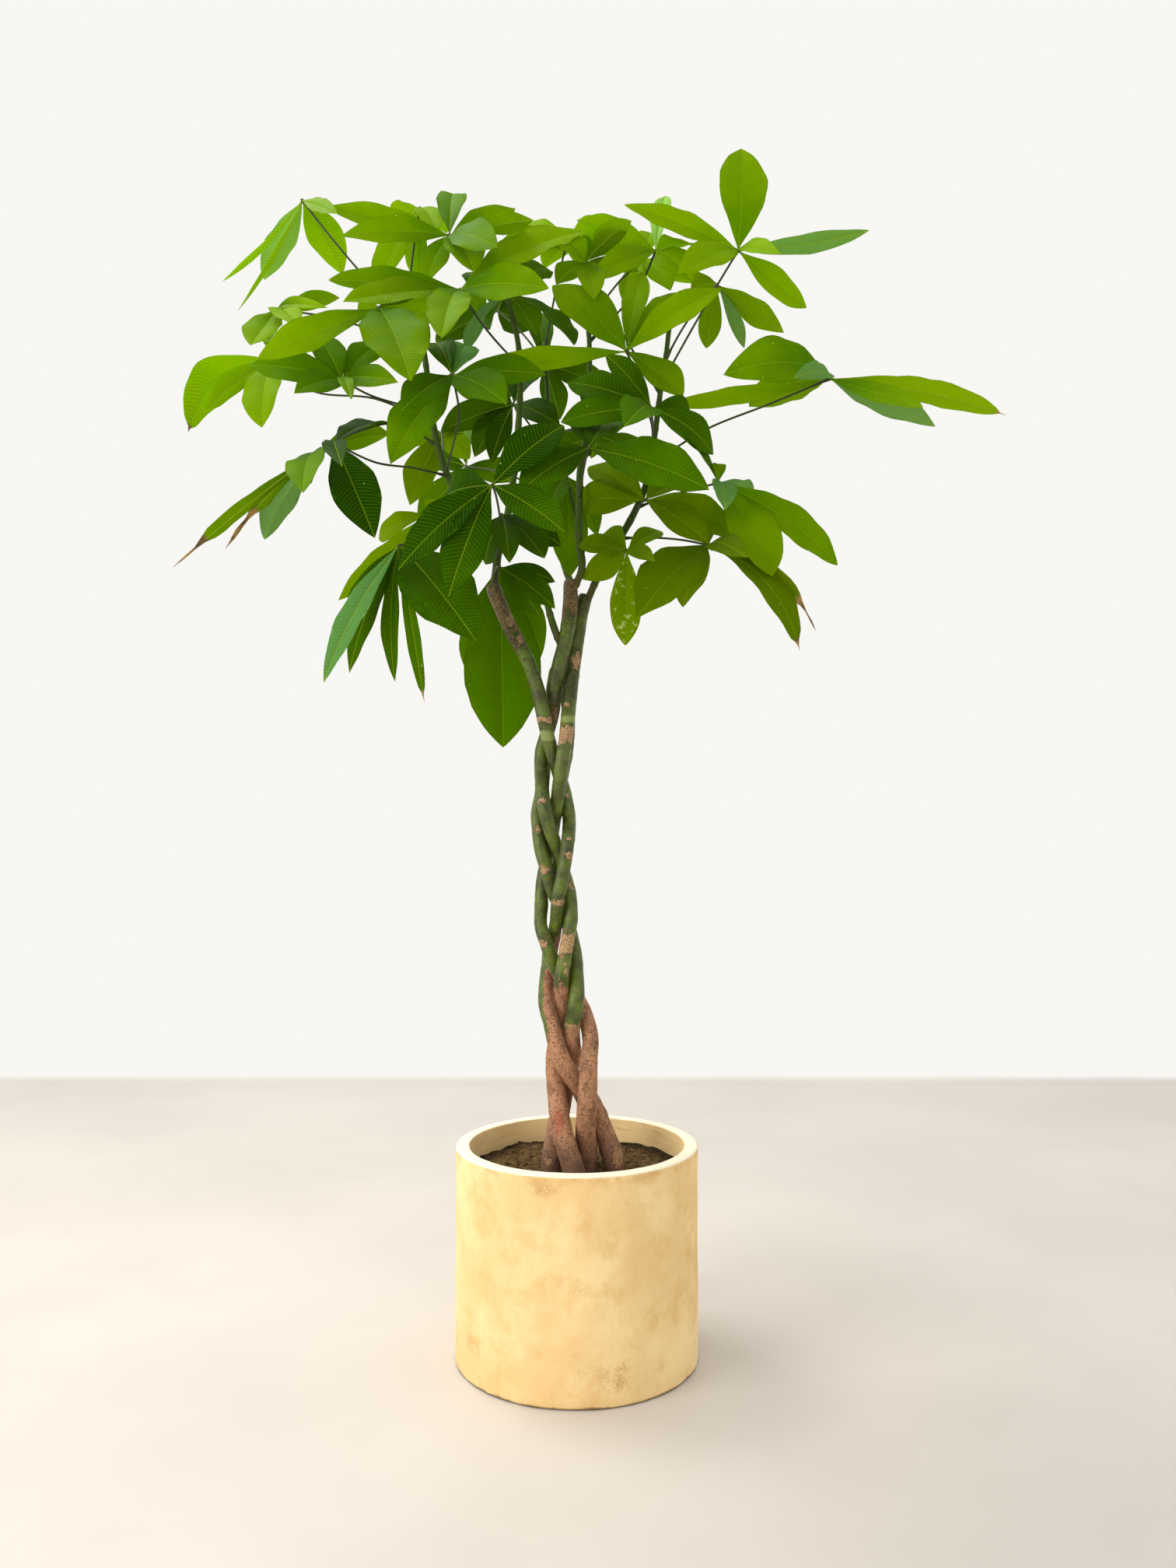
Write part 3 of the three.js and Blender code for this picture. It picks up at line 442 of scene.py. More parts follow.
class Wire:
    """A value that flows through a finish. Sums on it add the nodes that work them out."""

    def __init__(self, finish, socket):
        self.finish = finish
        self.socket = socket

    def _sum(self, operation, *terms):
        return self.finish.node("Math", {"operation": operation}, dict(enumerate(terms)))

    def __add__(self, other):
        return self._sum("ADD", self, other)

    __radd__ = __add__

    def __sub__(self, other):
        return self._sum("SUBTRACT", self, other)

    def __rsub__(self, other):
        return self._sum("SUBTRACT", other, self)

    def __mul__(self, other):
        return self._sum("MULTIPLY", self, other)

    __rmul__ = __mul__

    def __pow__(self, other):
        return self._sum("POWER", self, other)

    def __abs__(self):
        return self._sum("ABSOLUTE", self)

    def fraction(self):
        return self._sum("FRACT", self)

    def between(self, low, high):
        """Goes smoothly from 0 at low to 1 at high."""
        sockets = {"Value": self, "From Min": low, "From Max": high}
        return self.finish.node("MapRange", {"interpolation_type": "SMOOTHSTEP"}, sockets)


class Finish:
    """A procedural finish in the making."""

    def __init__(self, name):
        self.material = bpy.data.materials.new(name)
        self.material.use_nodes = True
        self.tree = self.material.node_tree
        self.tree.nodes.clear()

    def node(self, kind, settings=None, sockets=None, out=0):
        """Adds a node of a kind, makes its settings, fills or links its sockets, and returns
        the wire that leaves it."""
        made = self.tree.nodes.new("ShaderNode" + kind)
        for name, setting in (settings or {}).items():
            setattr(made, name, setting)
        for name, value in (sockets or {}).items():
            if isinstance(value, Wire):
                self.tree.links.new(value.socket, made.inputs[name])
            else:
                made.inputs[name].default_value = value
        return Wire(self, made.outputs[out]) if made.outputs else None

    def blend(self, share, under, over):
        """Lays one colour over another by a share of 0 to 1. A plain colour is three numbers."""
        under, over = (c if isinstance(c, Wire) else colour(*c) for c in (under, over))
        return self.node("Mix", {"data_type": "RGBA"}, {0: share, 6: under, 7: over}, out=2)

    def paint(self, base, *coats):
        """Lays coats over a base colour one after another, each a share and a colour."""
        for share, shade in coats:
            base = self.blend(share, base, shade)
        return base

    def vector(self, operation, *terms, out=0):
        """Works on whole vectors."""
        return self.node("VectorMath", {"operation": operation}, dict(enumerate(terms)), out)

    def length(self, vector):
        return self.vector("LENGTH", vector, out="Value")

    def axis(self, vector, number):
        """One of a vector's three numbers."""
        return self.node("SeparateXYZ", None, {0: vector}, number)

    def place(self, up=1):
        """The place on the piece, in metres along its axes, with its height multiplied."""
        return self.vector("MULTIPLY", self.node("TexCoord", out="Object"), (1, 1, up))

    def from_axis(self):
        """How far the place lies from the planter's axis."""
        return self.length(self.place(up=0))

    def noise(self, scale, detail=3.0, roughness=0.55, up=1):
        """Cloudy noise around 0.5, so many waves to a metre and upwards a multiple of that."""
        sockets = {"Scale": scale, "Detail": detail, "Roughness": roughness}
        return self.node("TexNoise", None, {"Vector": self.place(up), **sockets})

    def cells(self, scale, up=1, out=0):
        """The distance to the nearest of scattered dots, as close as the waves of noise."""
        return self.node("TexVoronoi", None, {"Vector": self.place(up), "Scale": scale}, out)

    def luck(self, scale, up=1):
        """A random number of 0 to 1 for each of the same dots."""
        return self.axis(self.cells(scale, up, "Color"), 0)

    def carried(self, label):
        """The three numbers that each corner carries under a name."""
        carried = self.node("Attribute", {"attribute_name": label}, out="Vector")
        return [self.axis(carried, k) for k in range(3)]

    def bump(self, height, strength):
        """The direction that a surface of a height in metres faces."""
        return self.node("Bump", None, {"Height": height, "Distance": 1.0, "Strength": strength})

    def surface(self, **sockets):
        """The plain shader with its sockets, named with spaces for low lines."""
        sockets = {name.replace("_", " "): value for name, value in sockets.items()}
        return self.node("BsdfPrincipled", None, sockets)

    def done(self, shader):
        """Closes the finish and returns its material."""
        self.node("OutputMaterial", None, {"Surface": shader})
        return self.material


def frayed(mask, noise, depth, low, high):
    """A mask whose border is torn by a noise, to a depth, before it goes from 0 to 1."""
    return (mask + (noise - 0.5) * depth).between(low, high)


# The greens of a leaf's upper and under face: deep, middle, bright, veins and a pale green that is
# partly the leaflet's own tint and partly painted sheen
UPPER_GREENS = (24, 60, 0), (78, 122, 0), (146, 182, 0), (170, 200, 40), (94, 146, 74)
UNDER_GREENS = (44, 82, 4), (88, 128, 4), (156, 188, 10), (180, 204, 70), (118, 168, 98)
# Side veins to a metre, and how far from its middle the midrib's edge begins and ends
VEINS = 178
RIB_EDGE = (0.0003, 0.001)


def leaf_finish(name, upper):
    """A leaf's face. Its green goes from deep to bright with the leaf's freshness, which is
    partly painted light for leaves that glow lit from behind, is cloudy and grows brighter
    towards the tip. Close side veins are paler than a deep leaf and deeper than a bright one.
    Some leaves are more olive, and some leaflets have a pale bluish tint that is partly
    painted sheen, are eaten at, or are dry at the tip. Specks show where insects fed, and
    light comes through from behind."""
    f = Finish(name)
    across, along, rim = f.carried("leaf_place")
    fresh_and_lit, dry, chance = f.carried("leaf_state")
    pale, olive, spoilt = f.carried("leaf_look")
    cloud = f.noise(26)
    grain = f.noise(420, detail=2)
    side = across.between(-0.0004, 0.0004)
    slant = abs(across) * 0.5 + abs(across) * abs(across) * 5
    count = (along - slant) * VEINS + side * 0.5 + cloud * 0.6 + chance * 7
    gap = abs(count.fraction() - 0.5) * 2
    vein = gap.between(0.74, 0.97) * (1 - rim.between(0.78, 1.0))
    rib = 1 - abs(across).between(*RIB_EDGE)
    deep, middle, bright, light, pale_sheen_green = UPPER_GREENS if upper else UNDER_GREENS
    young_pale_sheen = f.blend(fresh_and_lit.between(0.8, 1.15), pale_sheen_green, (160, 212, 104))
    # The tone is partly painted light: freshness and each leaflet's chance also stand for leaves
    # that glow lit from behind and others that do not.
    tone = fresh_and_lit + (cloud - 0.5) * 0.24 + (chance - 0.5) * 0.24
    tone = tone + (along.between(0.0, 0.13) - 0.5) * 0.24
    speck = (1 - f.cells(62).between(0.05, 0.09)) * f.luck(62).between(0.86, 0.88)
    eaten = f.noise(130, detail=3).between(0.61, 0.64)
    ragged = frayed(dry, cloud, 0.5, 0.35, 0.65)
    withered = f.blend(cloud.between(0.4, 0.6), (178, 140, 84), (112, 88, 58))
    base = f.paint(
        deep,
        (tone.between(0.0, 0.6), middle),
        (tone.between(0.5, 1.0), bright),
        (olive * 0.4, (112, 108, 0)),
        # Listed leaflets turn pale bluish green: partly their own tint, partly painted sheen.
        (pale * 0.85, young_pale_sheen),
        (vein * fresh_and_lit.between(0.9, 0.2) * 0.14, light),
        (vein * fresh_and_lit.between(0.3, 1.0) * 0.36, middle),
        (rib * (0.45 + fresh_and_lit * 0.3), light),
        (grain.between(0.6, 0.8) * 0.14, deep),
        (rim.between(0.93, 1.0) * 0.4, deep),
        (speck * 0.8, (206, 214, 120)),
        (spoilt * eaten, (222, 228, 140)),
        (ragged, withered),
    )
    swell = 1 - gap ** 3
    height = swell * 0.0004 - rib * 0.0006 if upper else rib * 0.0008 - swell * 0.0003
    height = height + grain * 0.00006 + cloud * 0.0008
    normal = f.bump(height, 0.8 if upper else 0.7)
    shine = f.surface(
        Base_Color=base,
        Roughness=0.42 + cloud * 0.2 if upper else 0.58 + cloud * 0.12,
        Specular_IOR_Level=0.02 if upper else 0.0,
        Specular_Tint=colour(196, 232, 100),
        Normal=normal,
    )
    glow = f.node("BsdfTranslucent", None, {"Color": colour(172, 206, 0), "Normal": normal})
    through = (0.26 + fresh_and_lit * 0.34) * (1 - vein * 0.5) * (1 - ragged * 0.85) * (1 - pale * 0.4)
    return f.done(f.node("MixShader", None, {0: through, 1: shine, 2: glow}))


def stalk_finish():
    """Leaf stalks and shoots: green with a brown flush, finely grained, woody at knots."""
    f = Finish("green_stalk")
    young, knot, _ = f.carried("wood_state")
    cloud = f.noise(40)
    grain = f.noise(600, detail=2)
    base = f.paint(
        (48, 46, 34),
        (cloud.between(0.35, 0.7), (70, 72, 42)),
        (young, f.blend(cloud, (40, 66, 8), (80, 108, 20))),
        (knot * 0.8, (86, 74, 44)),
        (grain.between(0.6, 0.75) * 0.3, (130, 140, 76)),
    )
    return f.done(f.surface(
        Base_Color=base,
        Roughness=0.5 + cloud * 0.15,
        Specular_IOR_Level=0.2,
        Normal=f.bump(grain * 0.00025 + cloud * 0.0006, 0.6),
    ))


def bark_finish():
    """Trunks: thin green bark with pale pores above, rough reddish-brown bark with cracks
    below, gnarled dark bark at the cut tops, and tan scars and pale rings where branches and
    leaves were, with one pale painted highlight among the scar marks, all with ragged borders."""
    f = Finish("plaited_bark")
    brown, scar, pale = f.carried("bark_state")
    dark, red, low = f.carried("bark_stain")
    cloud = f.noise(34, detail=4)
    ragged = f.noise(170, detail=5, roughness=0.7)
    streak = f.noise(420, detail=4, roughness=0.7, up=0.3)
    grain = f.noise(640, detail=3, roughness=0.7)
    crack = f.noise(190, roughness=0.6, up=2.6).between(0.58, 0.66)
    weather = f.noise(90, detail=5, roughness=0.7, up=0.35).between(0.48, 0.62)
    pore = (1 - f.cells(190, 2.6).between(0.08, 0.26)) * f.luck(190, 2.6).between(0.55, 0.9)
    ragged_brown = frayed(brown, ragged, 1.8, 0.4, 0.6)
    ragged_dark = frayed(dark, ragged, 2.4, 0.35, 0.65)
    ragged_pale = frayed(pale, ragged, 1.2, 0.4, 0.7)
    ragged_scar = frayed(scar, ragged, 2.6, 0.42, 0.62)
    green = f.paint(
        (48, 64, 10),
        (cloud.between(0.34, 0.66), (96, 120, 24)),
        (streak.between(0.5, 0.75) * 0.35, (112, 116, 60)),
        (ragged.between(0.47, 0.6) * 0.65, (94, 82, 46)),
        (grain.between(0.48, 0.66) * 0.5, (38, 42, 16)),
        (pore * 0.75, (180, 168, 116)),
    )
    rough = f.paint(
        (132, 90, 62),
        (grain.between(0.34, 0.66), (212, 158, 118)),
        (cloud.between(0.5, 0.7) * 0.6, (118, 84, 66)),
        (ragged.between(0.5, 0.62) * 0.5, (190, 132, 86)),
        (weather * 0.55, (104, 72, 52)),
        (low * (0.4 + grain * 0.6), (82, 62, 54)),
        (crack * 0.8, (76, 52, 38)),
        (frayed(red, ragged, 1.6, 0.4, 0.9) * 0.6, (170, 82, 54)),
    )
    gnarled = f.paint(
        (52, 38, 24),
        (grain.between(0.35, 0.65), (120, 92, 58)),
        ((streak + grain).between(0.98, 1.12) * 0.7, (176, 136, 88)),
    )
    tan = f.blend(grain.between(0.4, 0.62), (146, 104, 70), (206, 168, 124))
    base = f.paint(
        green,
        (ragged_brown, rough),
        (ragged_dark * 0.9, gnarled),
        (ragged_pale * 0.7, (146, 158, 88)),
        # Scars, and one painted highlight listed with them.
        (ragged_scar * (0.55 + grain.between(0.4, 0.55) * 0.4), tan),
    )
    height = streak * 0.0006 * (0.3 + ragged_brown) + grain * 0.0003 - crack * 0.0006 * ragged_brown
    rugged = 0.25 + ragged_brown + ragged_scar + ragged_dark * 1.6
    height = height + ragged * 0.0016 * rugged + pore * 0.0005
    return f.done(f.surface(
        Base_Color=base,
        Roughness=0.42 + ragged_brown * 0.36 + ragged_scar * 0.2,
        Specular_IOR_Level=0.4,
        Normal=f.bump(height, 0.8),
    ))


# Stains on the planter: the middle of each and how far it spreads along each axis
POT_STAINS = [
    ((-0.057, -0.165, 0.286), (0.05, 0.05, 0.013)),
    ((0.067, -0.165, 0.04), (0.05, 0.05, 0.035)),
    ((-0.16, -0.05, 0.05), (0.06, 0.1, 0.03)),
]


def stone_finish():
    """The planter's cream cast stone: cloudy, finely grained and pitted. The rim is almost white,
    partly worn paler stone and partly painted light on its top. A brownish band below it is
    partly stain and partly painted shade under the rim. The inner wall is painted lighter as
    painted light, and streaked. There are small stains, and a dark line at the foot that is
    partly wear and partly painted shadow where the planter meets the floor."""
    f = Finish("cast_stone")
    where = f.place()
    height = f.axis(where, 2)
    cloud = f.noise(9, detail=4, roughness=0.6)
    patch = f.noise(22, detail=6, roughness=0.68)
    brush = f.noise(150, detail=4, roughness=0.6, up=0.12)
    lines = f.noise(26, detail=4, roughness=0.6, up=9)
    grain = f.noise(520, detail=3, roughness=0.7)
    pit = (1 - f.cells(240).between(0.05, 0.2)) * patch.between(0.48, 0.6)
    inside = 1 - f.from_axis().between(POT_INSIDE, POT_INSIDE + 0.0015)
    stain = 0
    for middle, spread in POT_STAINS:
        step = f.vector("DIVIDE", f.vector("SUBTRACT", where, middle), spread)
        stain = (1 - f.length(step).between(0.3, 1.0)) + stain
    freckle = frayed(grain, patch, 1.2, 0.5, 0.62)
    # A brownish band under the rim: partly stain, partly painted shade under the rim.
    below_rim = height.between(POT_HEIGHT - 0.017, POT_HEIGHT - 0.004) * patch.between(0.42, 0.6)
    # The rim mask: partly worn paler stone, partly painted light where the top catches the light.
    rim = height.between(POT_HEIGHT - OUTER_EDGE, POT_HEIGHT - 0.0008) * (0.7 + patch * 0.4)
    # A dark line at the foot: partly wear, partly painted shadow where the planter meets the floor.
    foot = 1 - (height - patch * 0.008).between(-0.003, 0.001)
    base = f.paint(
        (238, 202, 140),
        (cloud.between(0.35, 0.68), (250, 222, 164)),
        (patch.between(0.46, 0.7) * 0.6, (226, 184, 114)),
        (brush.between(0.52, 0.72) * 0.14, (216, 176, 110)),
        (grain.between(0.56, 0.72) * 0.35, (206, 170, 108)),
        # Painted light: the inner wall is painted lighter, standing in for the light that falls on
        # it.
        (inside * 0.8, (255, 224, 164)),
        (inside * lines.between(0.5, 0.7) * 0.4, (196, 158, 104)),
        # The band under the rim, partly stain and partly painted shade.
        (below_rim * (1 - inside) * 0.5, (208, 160, 98)),
        (stain * freckle * 0.4, (176, 132, 80)),
        (pit * (0.4 + stain * 0.5), (138, 100, 58)),
        # The rim painted almost white: partly its worn paler stone, partly painted light on its
        # top.
        (rim * (1 - inside), (252, 245, 220)),
        # The dark foot line, partly wear and partly painted shadow.
        (foot * 0.85, (84, 62, 36)),
    )
    bumps = grain * 0.0005 + patch * 0.001 + cloud * 0.002 + brush * 0.0005 - pit * 0.0007
    return f.done(f.surface(
        Base_Color=base,
        Roughness=0.62 + grain * 0.2,
        Specular_IOR_Level=0.3,
        Normal=f.bump(bumps, 0.55),
    ))


def soil_finish():
    """Dry olive-brown potting soil with dark hollows and pale flecks, and painted shade in the
    groove along the wall.
    """
    f = Finish("potting_soil")
    clods = f.noise(120, detail=6, roughness=0.75)
    fleck = f.cells(380)
    # Painted shade: the soil darkens towards the wall, where the groove between soil and wall lies
    # in shadow.
    painted_wall_shade = f.from_axis().between(POT_INSIDE - 0.042, POT_INSIDE - 0.014)
    base = f.paint(
        (56, 42, 20),
        (clods.between(0.36, 0.64), (120, 94, 54)),
        ((1 - fleck.between(0.08, 0.24)) * 0.4, (150, 122, 76)),
        # Painted shade along the wall.
        (painted_wall_shade * 0.8, (26, 18, 8)),
    )
    return f.done(f.surface(
        Base_Color=base,
        Roughness=0.95,
        Specular_IOR_Level=0.15,
        Normal=f.bump(clods * 0.004 + fleck * 0.0008, 0.8),
    ))


# The floor's half width, and where it fades out behind the plant and all round
FLOOR_HALF = 3.2
FLOOR_FADES_BEHIND = (1.86, 1.98)
FLOOR_FADES_AROUND = (2.6, 3.1)


def floor_finish():
    """A plain pale floor that fades away into the backdrop far from the plant."""
    f = Finish("studio_floor")
    where = f.place()
    cloud = f.noise(1.6, detail=3)
    base = f.blend(cloud.between(0.3, 0.7), (202, 195, 187), (210, 203, 195))
    ground = f.surface(Base_Color=base, Roughness=0.5 + cloud * 0.1, Specular_IOR_Level=0.25)
    clear = f.node("BsdfTransparent")
    away = f.axis(where, 1).between(*FLOOR_FADES_BEHIND)
    away = away + f.length(where).between(*FLOOR_FADES_AROUND)
    return f.done(f.node("MixShader", None, {0: away, 1: ground, 2: clear}))


LEAF_UPPER = leaf_finish("leaf_upper", True)
LEAF_UNDER = leaf_finish("leaf_under", False)
STALK = stalk_finish()
BARK = bark_finish()
STONE = stone_finish()
SOIL = soil_finish()


# Leaves

# Shares of a leaflet's length at which it has a ring of corners
LEAF_ROWS = np.array([
    0.012, 0.035, 0.07, 0.12, 0.18, 0.24, 0.3, 0.36, 0.42, 0.48,
    0.54, 0.6, 0.66, 0.72, 0.78, 0.84, 0.89, 0.93, 0.965, 0.988,
])
# Shares of the half width, from the right rim over the upper face to the left rim
LEAF_COLUMNS = np.array([1, 0.74, 0.42, 0.1, 0, -0.1, -0.42, -0.74, -1])
LEAF_AROUND = 2 * len(LEAF_COLUMNS) - 2
LEAF_BODY = 0.0008
RIB_HEIGHT, RIB_SHARE = 0.0013, 0.1
LEAF_STEM_RADIUS = 0.0015
LEAF_STEM_LENGTH = 0.011
# How wide a leaflet is beside its solid, and how its rim is notched and its halves wave
LEAF_WIDTH = 0.93
LEAF_NOTCH, NOTCH_LENGTH = 0.012, 0.037
LEAF_WAVE, WAVE_LENGTHS = 0.08, (0.05, 0.08)
LEAF_BULGE = 0.17
# From where to where the powers of a leaflet's outline go, at its foot and at its tip
LEAF_WEDGES, LEAF_POINTS = (1.15, 1.4), (0.82, 1.1)
# How far beyond its two known stations, in steps between them, a rim goes on turning
RIM_TURNS = (-0.9, 1.2)
# How deep the groove over the midrib is beside the rib's height below
RIB_GROOVE = 0.35
# How much fresher or deeper single leaflets are than their leaf
LEAFLET_VARIES = 0.06
# How much narrower a dry end is, and how much more it is notched and waves
DRY_SHRINK, DRY_NOTCH, DRY_WAVE = 0.72, 0.12, 0.5
# How near a leaflet's tip must be seen to a listed spot to be meant, in dots
TIP_REACH = 14
# Tips that are dry, by where they are seen, and how far up the leaflet that goes
DRY_TIPS = {
    (222, 730): 0.25, (289, 707): 0.4, (1028, 838): 0.08, (541, 905): 0.08, (1294, 534): 0.06,
    (242, 556): 0.05, (1049, 812): 0.3, (689, 744): 0.1,
}
# Tips of young leaflets that are still half folded, as seen, and how wide those are
NARROW_TIPS = {(286, 362): 0.42, (305, 401): 0.34}
# Tips of leaflets with a pale bluish tint, partly their own and partly painted sheen, as seen
PALE_SHEEN_TIPS = [
    (340, 360), (856, 252), (346, 438), (599, 454), (1118, 296), (957, 448),
    (1203, 549), (1020, 486), (962, 654), (932, 656), (340, 694), (416, 878),
]
# Tips of leaflets that are a deeper green than the rest of their leaf, and by how much
DEEP_TIPS = [(528, 488), (584, 250), (640, 319), (441, 354)]
DEEPER = 0.3
# The leaflet that insects have eaten at, and the leaves that are more olive than green
SPOILT_TIPS = [(806, 825)]
OLIVE_LEAVES = (18, 19, 20, 30, 38, 39)
# How yellow-green each leaf is painted in turn, from 0 for deep green ones to 1 for the brightest:
# partly the leaf's age and partly painted light, brighter where a leaf glows lit from behind
FRESHNESS_AND_BACKLIGHT = [
    1.2, 0.75, 1.1, 0.85, 0.85, 0.65, 0.25, 0.85, 1.1, 1.1, 0.7, 0.9, 0.8, 0.75, 0.75, 0.3, 0.2,
    0.7, 0.9, 0.4, 0.5, -0.1, 0.6, 1.0, 0.35, 0.1, 0.1, 0.35, 0.15, 1.0, 0.2, 0.5, 0.0, 0.2, -0.1,
    0.15, 0.25, 0.9, 0.6,
]
# From where each leaf's random numbers start
LEAF_SEED = 100


def leaf_outline(shares, wedge, point):
    """Half width along a leaflet as a share of the widest: s^p (1 - s)^q over its highest
    value, so it widens like a wedge and ends in a tip that is sharper for a larger q."""
    top = wedge / (wedge + point)
    highest = top**wedge * (1 - top) ** point
    return shares**wedge * (1 - shares) ** point / highest


def leaflet_shapes(leaflets, draw):
    """Corners of all leaflets of a leaf at once, as [leaflet, corner, axis], with the numbers
    that they carry. With s along, t across and w the outline, a corner lies at
    hub + s·length·along + 4s(1-s)·rise·up + |t|·w·(vector to the rim), to which a bulge
    of each half, a wave of the rim and half the thickness, up or down, are added."""
    s = LEAF_ROWS[:, None]
    t = np.append(LEAF_COLUMNS, LEAF_COLUMNS[-2:0:-1])
    face = np.where(np.arange(LEAF_AROUND) < len(LEAF_COLUMNS), 1, -1)
    hub, along, up, tip, length, rise, rims = (
        leaflets[name][:, None, None]
        for name in ("hub", "along", "up", "tip", "length", "rise", "rims")
    )
    count = len(length)
    wedge = draw.uniform(*LEAF_WEDGES, (count, 1, 1))
    point = draw.uniform(*LEAF_POINTS, (count, 1, 1))
    dry = dryness(leaflets, s)
    width = LEAF_WIDTH * leaf_outline(s, wedge, point) * (1 - DRY_SHRINK * dry)
    for spot, share in NARROW_TIPS.items():
        width = width * np.where(tip_is_seen(leaflets, [spot]), share, 1)[:, None, None]
    turn = np.clip((s - MIDDLE_STATION) / (OUTER_STATION - MIDDLE_STATION), *RIM_TURNS)
    near, far = (
        np.where(t[:, None] > 0, rims[..., station, 0, :], rims[..., station, 1, :])
        for station in (0, 1)
    )
    rim = near + (far - near) * turn[..., None]
    half = size_of(rims[..., 0, :, :]).mean(axis=-1)
    stem = 1 - smoothly(0.5, 1, s * length / LEAF_STEM_LENGTH)
    width = np.maximum(width, stem * LEAF_STEM_RADIUS / half)
    place = hub + (s * length)[..., None] * along + (4 * s * (1 - s) * rise)[..., None] * up
    starts = draw.uniform(0, 2 * np.pi, (count, 1, 4))
    wave_start, notch_start = (
        np.where(t > 0, starts[..., k : k + 1], starts[..., k + 1 : k + 2]) for k in (0, 2)
    )
    notch = np.sin(2 * np.pi * s * length / NOTCH_LENGTH + notch_start)
    notch = 1 + (LEAF_NOTCH + DRY_NOTCH * dry) * notch
    place = place + (abs(t) * width * notch)[..., None] * rim
    wavelength = draw.uniform(*WAVE_LENGTHS, (count, 1, 1))
    wave = np.sin(2 * np.pi * s * length / wavelength + wave_start) * t**2
    wave = wave * (LEAF_WAVE + DRY_WAVE * dry)
    lift = (wave + LEAF_BULGE * (abs(t) - t**2)) * width * half
    rib = np.maximum(1 - abs(t) / RIB_SHARE, 0) * RIB_HEIGHT * (1.1 - s)
    body = 0.5 * LEAF_BODY * (1 - abs(t)) ** 0.4 + np.where(face > 0, -RIB_GROOVE * rib, rib)
    body = np.maximum(body, stem * LEAF_STEM_RADIUS * np.sqrt(1 - t**2))
    corners = (place + (lift + face * body)[..., None] * up).reshape(count, -1, 3)
    carried = np.broadcast_arrays(t * width * half, s * length, abs(t))
    carried = np.stack(carried, axis=-1).reshape(count, -1, 3)
    corners = np.concatenate([hub[:, 0], corners, tip[:, 0]], axis=1)
    carried = np.pad(carried, ((0, 0), (1, 1), (0, 0)))
    carried[:, -1, 1] = leaflets["length"]
    return corners, carried


def dryness(leaflets, s):
    """How dry leaflets are at shares s of their length, from 0 to 1: dry at listed tips."""
    dry = 0
    for spot, reach in DRY_TIPS.items():
        near = 1 - smoothly(0.6 * reach, 1.3 * reach, 1 - s)
        dry = np.maximum(dry, tip_is_seen(leaflets, [spot])[:, None, None] * near)
    return dry


def tip_is_seen(leaflets, spots):
    """Whether each leaflet's tip is seen within a few dots of one of the spots."""
    seen = seen_at(leaflets["tip"])[:, None]
    return (size_of(seen - np.array(spots)) < TIP_REACH).any(axis=1)


def stalk_tube(leaflets, corners, linked):
    """Corners and faces of a leaf's stalk, which is thicker at its foot and at the hub."""
    line = even_line(stalk_line(leaflets, corners, linked), STALK_ROWS)
    share = np.linspace(0, 1, STALK_ROWS)
    foot, hub = 1 - smoothly(*STALK_FOOT, share), smoothly(*STALK_HUB, share)
    radii = STALK_RADIUS + (STALK_FOOT_RADIUS - STALK_RADIUS) * foot
    radii += (STALK_HUB_RADIUS - STALK_RADIUS) * hub
    line = np.vstack([line, line[-1] + PAST_HUB * unit(line[-1] - line[-2])])
    radii = np.append(radii, 0.6 * STALK_HUB_RADIUS)
    return tube(line, radii, STALK_AROUND), tube_faces(len(line), STALK_AROUND)


def leaf_piece(node, number):
    """A compound leaf: the stalk's tube, then each leaflet's, whose faces take the upper or
    under finish, with how fresh and lit from behind (partly painted light), dry, pale (partly
    painted sheen), olive and spoilt each leaflet is."""
    draw = np.random.default_rng(LEAF_SEED + number)
    leaflets, corners, linked = leaflet_table(node)
    stalk, faces = stalk_tube(leaflets, corners, linked)
    blades, places = leaflet_shapes(leaflets, draw)
    count, per_blade = blades.shape[:2]
    upper = np.arange(LEAF_AROUND) < len(LEAF_COLUMNS) - 1
    choice = [0] * len(faces)
    choice += np.tile(np.where(upper, 1, 2), count * (len(LEAF_ROWS) + 1)).tolist()
    for index in range(count):
        faces += tube_faces(len(LEAF_ROWS), LEAF_AROUND, len(stalk) + index * per_blade)
    state, look = np.zeros((2, count, per_blade, 3))
    varies = draw.uniform(-LEAFLET_VARIES, LEAFLET_VARIES, (count, 1))
    state[..., 0] = FRESHNESS_AND_BACKLIGHT[number - 1] + varies
    state[..., 0] -= DEEPER * tip_is_seen(leaflets, DEEP_TIPS)[:, None]
    dry = dryness(leaflets, LEAF_ROWS[:, None])[..., 0]
    state[:, 1:-1, 1] = np.repeat(dry, LEAF_AROUND, axis=1)
    state[:, -1, 1] = state[:, -2, 1]
    state[..., 2] = draw.uniform(0, 1, (count, 1))
    # Which leaflets carry the pale bluish tint that is partly painted sheen.
    look[..., 0] = tip_is_seen(leaflets, PALE_SHEEN_TIPS)[:, None]
    look[..., 1] = number in OLIVE_LEAVES
    look[..., 2] = tip_is_seen(leaflets, SPOILT_TIPS)[:, None]
    carried = {
        label: np.append(np.zeros((len(stalk), 3)), values.reshape(-1, 3), axis=0)
        for label, values in (("leaf_place", places), ("leaf_state", state), ("leaf_look", look))
    }
    corners = np.append(stalk, blades.reshape(-1, 3), axis=0)
    carried["wood_state"] = np.zeros_like(corners)
    carried["wood_state"][: len(stalk), 0] = STALK_GREEN
    finishes = [STALK, LEAF_UPPER, LEAF_UNDER]
    piece = make_piece(f"leaf_{number:02d}", corners, faces, finishes, choice, carried)
    place_piece(piece, "leaf", node)


# Shoots

